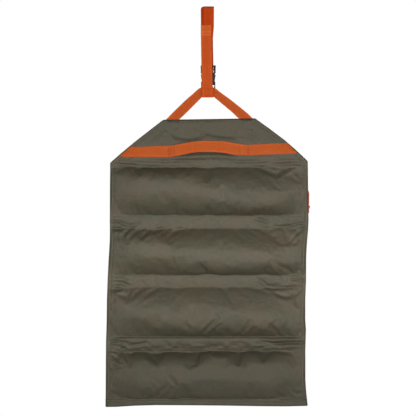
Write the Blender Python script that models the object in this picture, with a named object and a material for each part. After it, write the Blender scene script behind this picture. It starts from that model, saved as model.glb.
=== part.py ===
"""Camp kitchen utensil roll, hung open from its strap.

Metres, +Z up. The origin is the inside top of the hang loop. +X is the right of the outer
(padded) side, which faces -Y; the zipped pockets are on the +Y side.
"""
import math

import bmesh
import bpy
from mathutils import Matrix, Vector

# Clearances
GAP = 0.0003                    # between pieces that touch
SEW_OVERLAP = 0.018             # how far a sewn-in end reaches under the cloth

# Webbing
WEBBING_WIDTH = 0.025           # hang strap and carry handle
WEBBING_THICKNESS = 0.0016
BRIDLE_WIDTH = 0.0212

# Hang loop: inside radius, and where the riser's sewn end and its hem lie
LOOP_RADIUS = 0.004
RISER_TOP_Z = -0.043
RISER_HEM = 0.025
LOOP_FRONT_END_Z = -0.078
LOOP_BACK_END_Z = -0.060
BACK_LEG_X = 0.0010
BACK_LEG_TAIL = 0.022

# Bridle: the straight stretch in the strap's bottom fold, and the two sewn ends
BRIDLE_SADDLE_Z = -0.2053       # its lower edge, where the strap's fold lifts it
BRIDLE_SADDLE_HALF = 0.0125
BRIDLE_FOOT_INSET = 0.0285      # centre of each end, from the corner of the header's top edge

# The cloth as a whole
PANEL_HEIGHT = 0.658
PANEL_WIDTH = 0.456

# Header
HEADER_TOP_Z = -0.260
HEADER_TOP_WIDTH = 0.220
HEADER_SLANT_HEIGHT = 0.100
HEADER_HEIGHT = 0.107
HEADER_THICKNESS = 0.0042
BRIDLE_FOOT_X = HEADER_TOP_WIDTH / 2 - BRIDLE_FOOT_INSET

# Rows, from the top down
ROW_WIDTH = PANEL_WIDTH
ROW_SHARES = (129, 138, 140, 144)
ROW_HEIGHTS = [(PANEL_HEIGHT - HEADER_HEIGHT) * share / sum(ROW_SHARES) for share in ROW_SHARES]
ROW_TOP_FLANGES = (0.006, 0.014, 0.014, 0.016)
ROW_BOTTOM_FLANGES = (0.014, 0.014, 0.016, 0.021)
FLANGE_THICKNESS = 0.003
PAD_CROWN = 0.028               # of a row's padding above its flat flanges
PAD_SIDE_HEM = 0.008
PAD_SIDE_RISE = 0.034
HINGE_SLANT = math.radians(13)  # lets a row fold backwards a little too
LINING_THICKNESS = 0.0008

# Pockets
POCKET_WIDTH = ROW_WIDTH - 0.008
POCKET_WALL = 0.001
POCKET_DEPTH = 0.012            # bulge of the pocket cloth beyond its own edges
POCKET_FLANGE = 0.006
POCKET_SIDE_RISE = 0.024
POCKET_BOTTOM_MARGIN = 0.007    # from a pocket's lower edge to the row's end

# Zips, as heights above the lining and drops below the row's top
ZIP_DROP = 0.022
ZIP_LENGTH = POCKET_WIDTH - 0.010
ZIP_TAPE_REACH = 0.012
ZIP_TAPE_THICKNESS = 0.0008
ZIP_COIL_HEIGHT = 0.0028
ZIP_COIL_WIDTH = 0.0027
ZIP_COIL_GAP = 0.001
ZIP_LIFT = 0.003                # from the lining to the underside of the coil
ZIP_MOUTH = 0.0053              # from the zip's middle to the pocket's top edge
POCKET_EDGE_LIFT = 0.0019       # from the lining to the inside of the pocket's top edge

# Sliders and their pull cords
SLIDER_LENGTH = 0.011
SLIDER_WIDTH = 0.0096
SLIDER_PLATE = 0.0011
SLIDER_POST = 0.0004
SLIDER_REST_X = ZIP_LENGTH / 2 - 0.006
BAIL_BAR = 0.0014
BAIL_DEPTH = 0.0014
CORD_TURN = 0.00284             # radius of the cord's bend round the bail's bar
CORD_DIAMETER = 0.003
CORD_SIDE_DRIFT = (0.0183, 0.003, 0.003, 0.003)
CORD_DROP = 0.086               # from the bail to the end of the longer tail
SHORT_TAIL = 0.91               # the shorter tail's reach, as a share of that
KNOT_DROP = 0.072
KNOT_HEIGHT = 0.007
KNOT_SWELL = 0.0016
STRAND_PITCH = 0.0035

# Side-release buckle
BUCKLE_X = 0.0012
BUCKLE_WIDTH = 0.034
BUCKLE_THICKNESS = 0.010
BUCKLE_TOP_Z = -0.135
PLUG_BAR = 0.003                # upper and lower bars of the plug's frame
PLUG_CENTRE_BAR = 0.003
PLUG_SLOT = 0.0056
PLUG_BAR_THICKNESS = 0.0032
PLUG_CENTRE_THICKNESS = 0.002
SLOT_WIDTH = 0.0280
SOCKET_LENGTH = 0.0345
SOCKET_BODY = 0.0225
SOCKET_WAIST = 0.026
SOCKET_NECK = 0.0022             # between the hollow body and the slot in the foot
SOCKET_BAR = 0.0042
SOCKET_BAR_THICKNESS = 0.0026
SOCKET_CAVITY_WIDTH = 0.0272
SOCKET_CAVITY_THICKNESS = 0.0060
SOCKET_CAVITY_DEPTH = 0.0205
PRONG_LENGTH = 0.0165
PRONG_THICKNESS = 0.0048
TONGUE_WIDTH = 0.006

# Handle
HANDLE_TACK_X = 0.089           # where the sewn flat ends stop and the grip starts
HANDLE_END_Z = -0.3310
HANDLE_MIDDLE_Z = -0.3220
HANDLE_STAND_OFF = 0.012

# Depths worked out from the above
STRAP_FRONT_Y = -(LOOP_RADIUS + WEBBING_THICKNESS / 2)
RISER_Y = STRAP_FRONT_Y - WEBBING_THICKNESS - GAP
TAB_Y = STRAP_FRONT_Y + WEBBING_THICKNESS + GAP
HEADER_FRONT_Y = STRAP_FRONT_Y - HEADER_THICKNESS / 2
PANEL_BACK_Y = STRAP_FRONT_Y + HEADER_THICKNESS / 2
LINING_BACK_Y = PANEL_BACK_Y + GAP + LINING_THICKNESS
BUCKLE_Y = RISER_Y + WEBBING_THICKNESS / 2 + 0.0004 + BUCKLE_THICKNESS / 2
HEADER_BOTTOM_Z = HEADER_TOP_Z - HEADER_HEIGHT
HINGE_HALF_GAP = GAP / 2

OLIVE = (0.100, 0.089, 0.062)
LINING = (0.055, 0.053, 0.046)
MESH = (0.030, 0.030, 0.029)
ORANGE = (0.510, 0.080, 0.016)
BLACK = (0.012, 0.012, 0.013)
METAL = (0.060, 0.060, 0.062)


def row_top(n):
    """Height of row n's upper fold line; n = len(ROW_HEIGHTS) gives the roll's lower edge."""
    return HEADER_BOTTOM_Z - sum(ROW_HEIGHTS[:n])


def zip_z(n):
    return row_top(n) - ZIP_DROP


def clear_scene():
    for old in list(bpy.data.objects):
        bpy.data.objects.remove(old, do_unlink=True)


def material(name, colour, roughness, metallic=0.0):
    made = bpy.data.materials.new(name)
    made.use_nodes = True
    shader = made.node_tree.nodes["Principled BSDF"]
    shader.inputs["Base Color"].default_value = (*colour, 1.0)
    shader.inputs["Roughness"].default_value = roughness
    shader.inputs["Metallic"].default_value = metallic
    made.diffuse_color = (*colour, 1.0)
    return made


def body(name, place, parent=None):
    """An empty on a body's joint axis, which carries the body's pieces."""
    empty = bpy.data.objects.new(name + "_axis", None)
    empty.empty_display_size = 0.02
    bpy.context.collection.objects.link(empty)
    empty["place"] = place
    empty.location = Vector(place)
    if parent:
        empty.parent = parent
        empty.location = Vector(place) - Vector(parent["place"])
    return empty


def piece(name, bm, carrier, colour, roughness, metallic=0.0, sharp=35):
    """Turn a bmesh in world coordinates into a named object that its body's empty carries."""
    bmesh.ops.recalc_face_normals(bm, faces=bm.faces)
    mesh = bpy.data.meshes.new(name)
    bm.to_mesh(mesh)
    bm.free()
    mesh.transform(Matrix.Translation(-Vector(carrier["place"])))
    mesh.shade_smooth()
    mesh.set_sharp_from_angle(angle=math.radians(sharp))
    made = bpy.data.objects.new(name, mesh)
    made.parent = carrier
    mesh.materials.append(material(name, colour, roughness, metallic))
    bpy.context.collection.objects.link(made)
    return made


def helper(name, bm, carrier):
    """A solid that a Boolean adds or cuts away, and that isn't part of the object itself."""
    made = piece(name, bm, carrier, METAL, 0.5)
    made.hide_render = True
    made.display_type = "WIRE"
    return made


def boolean(target, tool, operation):
    change = target.modifiers.new(operation.lower() + "_" + tool.name, "BOOLEAN")
    change.operation = operation
    change.object = tool
    change.solver = "EXACT"


def bevel(target, width, segments=2, angle=40):
    change = target.modifiers.new("bevel", "BEVEL")
    change.width = width
    change.segments = segments
    change.limit_method = "ANGLE"
    change.angle_limit = math.radians(angle)


def prism(outline, low, high, axis):
    """A flat outline extruded along an axis: X takes (y, z) points, Y (x, z) and Z (x, y)."""
    spots = {"X": lambda a, b: (low, a, b), "Y": lambda a, b: (a, low, b), "Z": lambda a, b: (a, b, low)}
    bm = bmesh.new()
    face = bm.faces.new([bm.verts.new(spots[axis](a, b)) for a, b in outline])
    grown = bmesh.ops.extrude_face_region(bm, geom=[face])
    shift = Vector([high - low if axis == letter else 0.0 for letter in "XYZ"])
    bmesh.ops.translate(bm, vec=shift, verts=[v for v in grown["geom"] if isinstance(v, bmesh.types.BMVert)])
    return bm


def box(low, high):
    outline = [(low[0], low[2]), (high[0], low[2]), (high[0], high[2]), (low[0], high[2])]
    return prism(outline, low[1], high[1], "Y")


def rounded(width, height, radius, steps=4, middle=(0.0, 0.0)):
    """Corner points of a rounded rectangle, anticlockwise."""
    points = []
    for corner, (sx, sz) in enumerate(((1, 1), (-1, 1), (-1, -1), (1, -1))):
        cx = middle[0] + sx * (width / 2 - radius)
        cz = middle[1] + sz * (height / 2 - radius)
        for step in range(steps + 1):
            angle = math.radians(90) * (corner + step / steps)
            points.append((cx + radius * math.cos(angle), cz + radius * math.sin(angle)))
    return points


def arc(centre, radius, start, end, steps=8):
    """Points on an arc, angles in degrees."""
    angles = [math.radians(start + (end - start) * i / steps) for i in range(steps + 1)]
    return [(centre[0] + radius * math.cos(a), centre[1] + radius * math.sin(a)) for a in angles]


def strip_outline(line, thickness):
    """Both sides of a line in a plane, half the thickness away, as one closed outline."""
    sides = ([], [])
    for i, point in enumerate(line):
        here = Vector(point)
        before = Vector(line[max(i - 1, 0)])
        after = Vector(line[min(i + 1, len(line) - 1)])
        into = (here - before).normalized() if i else (after - here).normalized()
        out = (after - here).normalized() if i < len(line) - 1 else into
        normal_in, normal_out = Vector((-into.y, into.x)), Vector((-out.y, out.x))
        mitre = (normal_in + normal_out).normalized()
        reach = thickness / 2 / max(mitre.dot(normal_in), 0.5)
        sides[0].append(tuple(here + mitre * reach))
        sides[1].append(tuple(here - mitre * reach))
    return sides[0] + sides[1][::-1]


def webbing_strip(line, middle_x, thickness=WEBBING_THICKNESS):
    """Webbing whose thickness follows a line in the (y, z) plane."""
    outline = strip_outline(line, thickness)
    return prism(outline, middle_x - WEBBING_WIDTH / 2, middle_x + WEBBING_WIDTH / 2, "X")


def smooth_step(t):
    t = min(max(t, 0.0), 1.0)
    return t * t * (3 - 2 * t)


def quarter_round(t):
    t = min(max(t, 0.0), 1.0)
    return math.sqrt(1 - (1 - t) ** 2)


def spaced(low, high, count):
    return [low + (high - low) * i / count for i in range(count + 1)]


# Hang strap

def make_strap(header):
    """The riser from the bridle up to the loop, the loop over the top, and its back leg."""
    fold = (STRAP_FRONT_Y, BRIDLE_SADDLE_Z)
    bar_z = socket_bar_top_z()
    around_bar = BUCKLE_Y - TAB_Y
    tab_end_y = TAB_Y + WEBBING_THICKNESS + GAP
    riser = [(RISER_Y, RISER_TOP_Z)]
    riser += arc(fold, TAB_Y - STRAP_FRONT_Y, 180, 360)
    riser += arc((BUCKLE_Y, bar_z), around_bar, 180, 0)
    riser += [(BUCKLE_Y + around_bar, bar_z - SOCKET_BAR - 0.001),
              (tab_end_y, bar_z - SOCKET_BAR - 0.007), (tab_end_y, bar_z - SOCKET_BAR - 0.014)]
    strap = piece("strap_riser", webbing_strip(riser, 0.0), header, ORANGE, 0.8)
    hem_low = RISER_TOP_Z - RISER_HEM
    hem_front = RISER_Y - WEBBING_THICKNESS * 1.35
    hem = prism([(RISER_Y, RISER_TOP_Z - 0.0002), (hem_front, RISER_TOP_Z - 0.0008), (hem_front, hem_low),
                 (RISER_Y, hem_low - 0.001)], -WEBBING_WIDTH / 2 + 0.0002, WEBBING_WIDTH / 2 - 0.0002, "X")
    boolean(strap, helper("riser_hem", hem, header), "UNION")

    centre_radius = LOOP_RADIUS + WEBBING_THICKNESS / 2
    over = [(STRAP_FRONT_Y, LOOP_FRONT_END_Z)]
    over += arc((0.0, -LOOP_RADIUS), centre_radius, 180, 0, 10)
    over += [(centre_radius, LOOP_BACK_END_Z)]
    piece("strap_top_loop", webbing_strip(over, BACK_LEG_X), header, ORANGE, 0.8)

    piece("strap_back_leg", webbing_strip(back_leg_line(), BACK_LEG_X), header, ORANGE, 0.8)


def back_leg_line():
    """Down behind the plug, through its upper slot, over its centre bar and back out, then the tail."""
    start_y = LOOP_RADIUS + WEBBING_THICKNESS / 2
    off_frame = PLUG_BAR_THICKNESS / 2 + GAP + WEBBING_THICKNESS / 2
    off_centre = PLUG_CENTRE_THICKNESS / 2 + GAP + WEBBING_THICKNESS / 2
    upper_slot = BUCKLE_TOP_Z - PLUG_BAR
    centre_bar = upper_slot - PLUG_SLOT
    lower_slot = centre_bar - PLUG_CENTRE_BAR
    tail_y = BUCKLE_Y + BUCKLE_THICKNESS / 2 + GAP + WEBBING_THICKNESS / 2
    tail_top = lower_slot - PLUG_SLOT
    return [
        (start_y, LOOP_BACK_END_Z - GAP), (start_y, BUCKLE_TOP_Z + 0.012),
        (BUCKLE_Y + off_frame, BUCKLE_TOP_Z + 0.003), (BUCKLE_Y + off_frame, upper_slot - 0.0003),
        (BUCKLE_Y - off_centre, centre_bar + 0.0003), (BUCKLE_Y - off_centre, lower_slot - 0.0003),
        (BUCKLE_Y + off_frame, tail_top + 0.0003), (tail_y, tail_top - 0.0022), (tail_y, tail_top - BACK_LEG_TAIL),
    ]


# Side-release buckle

def plug_bottom_z():
    return BUCKLE_TOP_Z - 2 * PLUG_BAR - 2 * PLUG_SLOT - PLUG_CENTRE_BAR


def socket_top_z():
    return plug_bottom_z() - GAP


def socket_bar_top_z():
    return socket_top_z() - SOCKET_LENGTH + SOCKET_BAR


def make_plug(plug, prongs):
    """The adjustable half: a frame with two slots, a guide tongue and two flexing arms."""
    height = BUCKLE_TOP_Z - plug_bottom_z()
    middle_z = BUCKLE_TOP_Z - height / 2
    y0, y1 = BUCKLE_Y - PLUG_BAR_THICKNESS / 2, BUCKLE_Y + PLUG_BAR_THICKNESS / 2
    frame = piece("buckle_plug", prism(rounded(BUCKLE_WIDTH, height, 0.0042, 5, (BUCKLE_X, middle_z)), y0, y1, "Y"),
                  plug, BLACK, 0.35)
    tongue_low = plug_bottom_z() - SOCKET_CAVITY_DEPTH + 0.0035
    tongue = prism([(BUCKLE_X - TONGUE_WIDTH / 2, plug_bottom_z() + 0.001),
                    (BUCKLE_X - TONGUE_WIDTH / 2, tongue_low + 0.003), (BUCKLE_X - TONGUE_WIDTH / 4, tongue_low),
                    (BUCKLE_X + TONGUE_WIDTH / 4, tongue_low), (BUCKLE_X + TONGUE_WIDTH / 2, tongue_low + 0.003),
                    (BUCKLE_X + TONGUE_WIDTH / 2, plug_bottom_z() + 0.001)], y0 + 0.0003, y1 - 0.0003, "Y")
    boolean(frame, helper("plug_tongue", tongue, plug), "UNION")
    slot_top = BUCKLE_TOP_Z - PLUG_BAR
    for side, top in (("upper", slot_top), ("lower", slot_top - PLUG_SLOT - PLUG_CENTRE_BAR)):
        cut = prism(rounded(SLOT_WIDTH, PLUG_SLOT, 0.001, 2, (BUCKLE_X, top - PLUG_SLOT / 2)), y0 - 0.002, y1 + 0.002, "Y")
        boolean(frame, helper("plug_slot_" + side, cut, plug), "DIFFERENCE")
    bar_low = slot_top - PLUG_SLOT - PLUG_CENTRE_BAR
    for side, (a, b) in (("front", (y0 - 0.001, BUCKLE_Y - PLUG_CENTRE_THICKNESS / 2)),
                         ("back", (BUCKLE_Y + PLUG_CENTRE_THICKNESS / 2, y1 + 0.001))):
        thin = box((BUCKLE_X - SLOT_WIDTH / 2 + 0.0004, a, bar_low - 0.001),
                   (BUCKLE_X + SLOT_WIDTH / 2 - 0.0004, b, bar_low + PLUG_CENTRE_BAR + 0.001))
        boolean(frame, helper("centre_bar_" + side, thin, plug), "DIFFERENCE")
    bevel(frame, 0.0004, 1)
    for name, side in (("prong_left", -1), ("prong_right", 1)):
        make_prong(name, side, prongs[name])


def make_prong(name, side, carrier):
    """A flexing arm whose barb shows in the socket's side window."""
    top = plug_bottom_z() - GAP
    inner, root = 0.0078, SOCKET_CAVITY_WIDTH / 2 - 0.0006
    barb = SOCKET_CAVITY_WIDTH / 2 + 0.0022
    window_top = top - 0.0050
    points = [(inner + 0.0012, top), (root, top), (root, window_top - 0.0006), (barb, window_top - 0.0006)]
    points += [(barb + 0.0002, window_top - 0.0040), (barb - 0.0016, top - PRONG_LENGTH + 0.0030),
               (barb - 0.0046, top - PRONG_LENGTH), (inner, top - PRONG_LENGTH + 0.0012),
               (inner - 0.0006, window_top - 0.0030)]
    outline = [(BUCKLE_X + side * x, z) for x, z in points]
    arm = piece(name, prism(outline, BUCKLE_Y - PRONG_THICKNESS / 2, BUCKLE_Y + PRONG_THICKNESS / 2, "Y"),
                carrier, BLACK, 0.35)
    bevel(arm, 0.0003, 1)


def make_socket(header):
    """The fixed half: a hollow tapered body with side windows, and a slotted foot for the tab."""
    top = socket_top_z()
    body_low = top - SOCKET_BODY
    foot_low = top - SOCKET_LENGTH
    half, waist = BUCKLE_WIDTH / 2, SOCKET_WAIST / 2
    side = [(half - 0.0006, top), (half, top - 0.002), (half - 0.0006, top - 0.0055),
            (waist + 0.0018, body_low + 0.0055), (waist, body_low)]
    outline = [(BUCKLE_X + x, z) for x, z in side] + [(BUCKLE_X - x, z) for x, z in side[::-1]]
    shell = piece("buckle_socket", prism(outline, BUCKLE_Y - BUCKLE_THICKNESS / 2,
                                         BUCKLE_Y + BUCKLE_THICKNESS / 2, "Y"), header, BLACK, 0.35)
    bevel(shell, 0.0012, 2, 60)
    foot_half, thin = half - 0.0014, 0.0030
    foot = [(waist - 0.0006, body_low + 0.003), (waist - 0.0003, body_low + 0.0012), (foot_half, body_low - 0.0016),
            (foot_half, foot_low + 0.0022), (foot_half - 0.0022, foot_low)]
    foot_outline = [(BUCKLE_X + x, z) for x, z in foot] + [(BUCKLE_X - x, z) for x, z in foot[::-1]]
    boolean(shell, helper("socket_foot", prism(foot_outline, BUCKLE_Y - thin, BUCKLE_Y + thin, "Y"), header), "UNION")
    cavity = box((BUCKLE_X - SOCKET_CAVITY_WIDTH / 2, BUCKLE_Y - SOCKET_CAVITY_THICKNESS / 2, top - SOCKET_CAVITY_DEPTH),
                 (BUCKLE_X + SOCKET_CAVITY_WIDTH / 2, BUCKLE_Y + SOCKET_CAVITY_THICKNESS / 2, top + 0.002))
    boolean(shell, helper("socket_cavity", cavity, header), "DIFFERENCE")
    window = box((BUCKLE_X - half - 0.002, BUCKLE_Y - SOCKET_CAVITY_THICKNESS / 2 + 0.0002, top - PRONG_LENGTH - 0.0005),
                 (BUCKLE_X + half + 0.002, BUCKLE_Y + SOCKET_CAVITY_THICKNESS / 2 - 0.0002, top - 0.0050))
    boolean(shell, helper("socket_windows", window, header), "DIFFERENCE")
    bar_top = foot_low + SOCKET_BAR
    slot_top = body_low - SOCKET_NECK
    slot = prism(rounded(SLOT_WIDTH, slot_top - bar_top, 0.001, 2, (BUCKLE_X, (slot_top + bar_top) / 2)),
                 BUCKLE_Y - 0.008, BUCKLE_Y + 0.008, "Y")
    boolean(shell, helper("socket_slot", slot, header), "DIFFERENCE")
    for name, (a, b) in (("front", (-0.004, -SOCKET_BAR_THICKNESS / 2)), ("back", (SOCKET_BAR_THICKNESS / 2, 0.004))):
        thinned = box((BUCKLE_X - SLOT_WIDTH / 2 + 0.0001, BUCKLE_Y + a, foot_low - 0.001),
                      (BUCKLE_X + SLOT_WIDTH / 2 - 0.0001, BUCKLE_Y + b, bar_top + 0.001))
        boolean(shell, helper("socket_bar_" + name, thinned, header), "DIFFERENCE")


# Bridle, header and handle

def bridle_half():
    """One side of the bridle's outline: (x, z) points of its outer and inner edges, and its end."""
    saddle_mid = BRIDLE_SADDLE_Z + BRIDLE_WIDTH / 2
    foot = Vector((BRIDLE_FOOT_X, HEADER_TOP_Z))
    corner = Vector((BRIDLE_SADDLE_HALF, saddle_mid))
    along = (foot - corner).normalized()
    across = Vector((-along.y, along.x)) * BRIDLE_WIDTH / 2
    end = foot + along * SEW_OVERLAP
    outer = [corner + across * 0.97, end + across]
    inner = [end - across, Vector((BRIDLE_SADDLE_HALF - 0.0004, BRIDLE_SADDLE_Z))]
    return outer, inner


def make_bridle(header):
    outer, inner = bridle_half()
    right = [(0.0, BRIDLE_SADDLE_Z + BRIDLE_WIDTH)] + [tuple(p) for p in outer] + [tuple(p) for p in inner]
    outline = right + [(-x, z) for x, z in right[::-1] if x > 0]
    half = WEBBING_THICKNESS / 2
    piece("bridle_webbing", prism(outline, STRAP_FRONT_Y - half, STRAP_FRONT_Y + half, "Y"), header, ORANGE, 0.8)


def header_outline(inset=0.0):
    half_top, half = HEADER_TOP_WIDTH / 2 - inset * 0.6, ROW_WIDTH / 2 - inset
    low = HEADER_BOTTOM_Z + HINGE_HALF_GAP
    shoulder = HEADER_TOP_Z - HEADER_SLANT_HEIGHT
    right = [(half_top, HEADER_TOP_Z - inset), (half, shoulder), (half, low)]
    return right + [(-x, z) for x, z in right[::-1]]


def make_header(header):
    low_slant = HEADER_THICKNESS * math.tan(HINGE_SLANT)
    front = [(x, z + low_slant if z < HEADER_TOP_Z - HEADER_SLANT_HEIGHT - 0.001 else z)
             for x, z in header_outline()]
    bm = bmesh.new()
    near = [bm.verts.new((x, HEADER_FRONT_Y, z)) for x, z in front]
    far = [bm.verts.new((x, PANEL_BACK_Y, z)) for x, z in header_outline()]
    bm.faces.new(near)
    bm.faces.new(far[::-1])
    for i in range(len(near)):
        j = (i + 1) % len(near)
        bm.faces.new([near[i], near[j], far[j], far[i]])
    panel = piece("header_panel", bm, header, OLIVE, 0.9)
    for name, side in (("left", -1), ("right", 1)):
        boolean(panel, helper("bridle_seat_" + name, bridle_seat(side), header), "DIFFERENCE")
    lining = prism(header_outline(0.001), PANEL_BACK_Y + GAP, LINING_BACK_Y, "Y")
    piece("header_lining", lining, header, LINING, 0.9)


def bridle_seat(side):
    """The seam's pocket between cloth and lining that one end of the bridle is sewn into."""
    outer, inner = bridle_half()
    along = (outer[1] - outer[0]).normalized()
    across = (outer[1] - inner[0]).normalized()
    spare = GAP * 1.5
    corners = [outer[1] + across * spare + along * spare, outer[0] + across * spare,
               inner[1] - across * spare, inner[0] - across * spare + along * spare]
    half = WEBBING_THICKNESS / 2 + GAP
    return prism([(side * c.x, c.y) for c in corners], STRAP_FRONT_Y - half, STRAP_FRONT_Y + half, "Y")


def handle_point(x):
    """Centre of the handle webbing at x: flat at its sewn ends, bowed forward and up between."""
    on_panel = HEADER_FRONT_Y - GAP - WEBBING_THICKNESS / 2
    rise = smooth_step((HANDLE_TACK_X - abs(x)) / (HANDLE_TACK_X * 0.62))
    return Vector((x, on_panel - HANDLE_STAND_OFF * rise, HANDLE_END_Z + (HANDLE_MIDDLE_Z - HANDLE_END_Z) * rise))


def make_handle(header):
    """One length of webbing from slant to slant, its ends cut along the header's slanted edges."""
    slope = (ROW_WIDTH - HEADER_TOP_WIDTH) / 2 / HEADER_SLANT_HEIGHT
    low, high = HANDLE_END_Z - WEBBING_WIDTH / 2, HANDLE_END_Z + WEBBING_WIDTH / 2
    edge_inset = 0.003
    end_low = HEADER_TOP_WIDTH / 2 + (HEADER_TOP_Z - low) * slope - edge_inset
    end_high = HEADER_TOP_WIDTH / 2 + (HEADER_TOP_Z - high) * slope - edge_inset
    grip = spaced(-HANDLE_TACK_X, HANDLE_TACK_X, 18)
    stations = [(-end_low, -end_high)] + [(x, x) for x in grip] + [(end_low, end_high)]
    bm = bmesh.new()
    rings = []
    half = WEBBING_THICKNESS / 2
    for x_low, x_high in stations:
        lower, upper = handle_point(x_low), handle_point(x_high)
        middle_z = handle_point((x_low + x_high) / 2).z
        rings.append([bm.verts.new((x, y + dy, middle_z + dz)) for x, y, dy, dz in (
            (x_low, lower.y, -half, -WEBBING_WIDTH / 2), (x_low, lower.y, half, -WEBBING_WIDTH / 2),
            (x_high, upper.y, half, WEBBING_WIDTH / 2), (x_high, upper.y, -half, WEBBING_WIDTH / 2))])
    for a, b in zip(rings, rings[1:]):
        for i in range(4):
            j = (i + 1) % 4
            bm.faces.new([a[i], a[j], b[j], b[i]])
    bm.faces.new(rings[0])
    bm.faces.new(rings[-1][::-1])
    piece("handle_webbing", bm, header, ORANGE, 0.8)


# Rows

def pad_height(n, x, z):
    """How far row n's cover stands out from the panel's back at x, z."""
    top, low = row_top(n) - ROW_TOP_FLANGES[n], row_top(n + 1) + ROW_BOTTOM_FLANGES[n]
    along = (top - z) / (top - low)
    if not 0 < along < 1:
        return FLANGE_THICKNESS
    side = quarter_round((ROW_WIDTH / 2 - PAD_SIDE_HEM - abs(x)) / PAD_SIDE_RISE)
    return FLANGE_THICKNESS + PAD_CROWN * side * math.sin(math.pi * along) ** 0.8


def pad_stations(n):
    """The x and z places of a row cover's surface points."""
    half = ROW_WIDTH / 2
    rise = [half - PAD_SIDE_HEM - PAD_SIDE_RISE * t for t in (0.0, 0.08, 0.3, 0.62, 1.0)]
    right = [half] + rise
    xs = [-x for x in right] + spaced(-rise[-1], rise[-1], 10)[1:-1] + right[::-1]
    top, low = row_top(n), row_top(n + 1)
    crown_top, crown_low = top - ROW_TOP_FLANGES[n], low + ROW_BOTTOM_FLANGES[n]
    slant = FLANGE_THICKNESS * math.tan(HINGE_SLANT) + HINGE_HALF_GAP
    shares = (0.0, 0.05, 0.14, 0.26, 0.39, 0.5, 0.61, 0.74, 0.86, 0.95, 1.0)
    bulge = [crown_top + (crown_low - crown_top) * s for s in shares]
    last = low + (slant if n < len(ROW_HEIGHTS) - 1 else 0.0)
    return xs, [top - slant] + bulge + [last]


def make_row_cover(n, carrier):
    """A padded cover: flat sewn flanges round a crowned field, with a flat back."""
    xs, zs = pad_stations(n)
    bm = bmesh.new()
    grid = [[bm.verts.new((x, PANEL_BACK_Y - pad_height(n, x, z), z)) for x in xs] for z in zs]
    for r in range(len(zs) - 1):
        for c in range(len(xs) - 1):
            bm.faces.new([grid[r][c], grid[r][c + 1], grid[r + 1][c + 1], grid[r + 1][c]])
    half = ROW_WIDTH / 2
    top = row_top(n) - HINGE_HALF_GAP
    low = row_top(n + 1) + (HINGE_HALF_GAP if n < len(ROW_HEIGHTS) - 1 else 0.0)
    back = [bm.verts.new((x, PANEL_BACK_Y, z)) for x, z in ((-half, top), (half, top), (half, low), (-half, low))]
    bm.faces.new(back)
    bm.faces.new(grid[0] + [back[1], back[0]])
    bm.faces.new(grid[-1] + [back[2], back[3]])
    bm.faces.new([row[0] for row in grid] + [back[3], back[0]])
    bm.faces.new([row[-1] for row in grid] + [back[2], back[1]])
    piece(f"row_cover_{n + 1}", bm, carrier, OLIVE, 0.9)


def make_row_lining(n, carrier):
    half = ROW_WIDTH / 2 - 0.001
    spare = HINGE_HALF_GAP + (FLANGE_THICKNESS / 2) * math.tan(HINGE_SLANT)
    sheet = box((-half, PANEL_BACK_Y + GAP, row_top(n + 1) + spare), (half, LINING_BACK_Y, row_top(n) - spare))
    piece(f"row_lining_{n + 1}", sheet, carrier, LINING, 0.9)


def pocket_rise(n, x, z):
    """Height of the inside of pocket n's cloth above the lining at x, z."""
    swell_top = zip_z(n) - ZIP_TAPE_REACH - 0.001
    swell_low = row_top(n + 1) + POCKET_BOTTOM_MARGIN + POCKET_FLANGE
    along = min(max((swell_top - z) / (swell_top - swell_low), 0.0), 1.0)
    edge = POCKET_EDGE_LIFT + (GAP - POCKET_EDGE_LIFT) * along
    middle = edge + POCKET_DEPTH * math.sin(math.pi * along) ** 0.75
    side = quarter_round((POCKET_WIDTH / 2 - POCKET_FLANGE - abs(x)) / POCKET_SIDE_RISE)
    return GAP + (middle - GAP) * side


def make_pocket(n, carrier):
    """The pocket's cloth: a thin shell, sewn flat at the sides and foot, open towards the row."""
    half = POCKET_WIDTH / 2
    rise = [half - POCKET_FLANGE - POCKET_SIDE_RISE * t for t in (0.0, 0.12, 0.42, 1.0)]
    right = [half] + rise
    xs = [-x for x in right] + spaced(-rise[-1], rise[-1], 6)[1:-1] + right[::-1]
    top, swell_top = zip_z(n) - ZIP_MOUTH, zip_z(n) - ZIP_TAPE_REACH - 0.001
    low = row_top(n + 1) + POCKET_BOTTOM_MARGIN
    swell = [swell_top + (low + POCKET_FLANGE - swell_top) * s for s in (0.0, 0.06, 0.2, 0.38, 0.6, 0.8, 0.94, 1.0)]
    zs = [top] + swell + [low]
    bm = bmesh.new()
    sides = []
    for lift in (0.0, POCKET_WALL):
        sides.append([[bm.verts.new((x, LINING_BACK_Y + pocket_rise(n, x, z) + lift, z)) for x in xs] for z in zs])
    for layer in sides:
        for r in range(len(zs) - 1):
            for c in range(len(xs) - 1):
                bm.faces.new([layer[r][c], layer[r][c + 1], layer[r + 1][c + 1], layer[r + 1][c]])
    inner, outer = sides
    for a, b in ((inner[0], outer[0]), (inner[-1], outer[-1]),
                 ([r[0] for r in inner], [r[0] for r in outer]), ([r[-1] for r in inner], [r[-1] for r in outer])):
        for i in range(len(a) - 1):
            bm.faces.new([a[i], a[i + 1], b[i + 1], b[i]])
    piece(f"pocket_{n + 1}", bm, carrier, MESH, 0.85)


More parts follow.
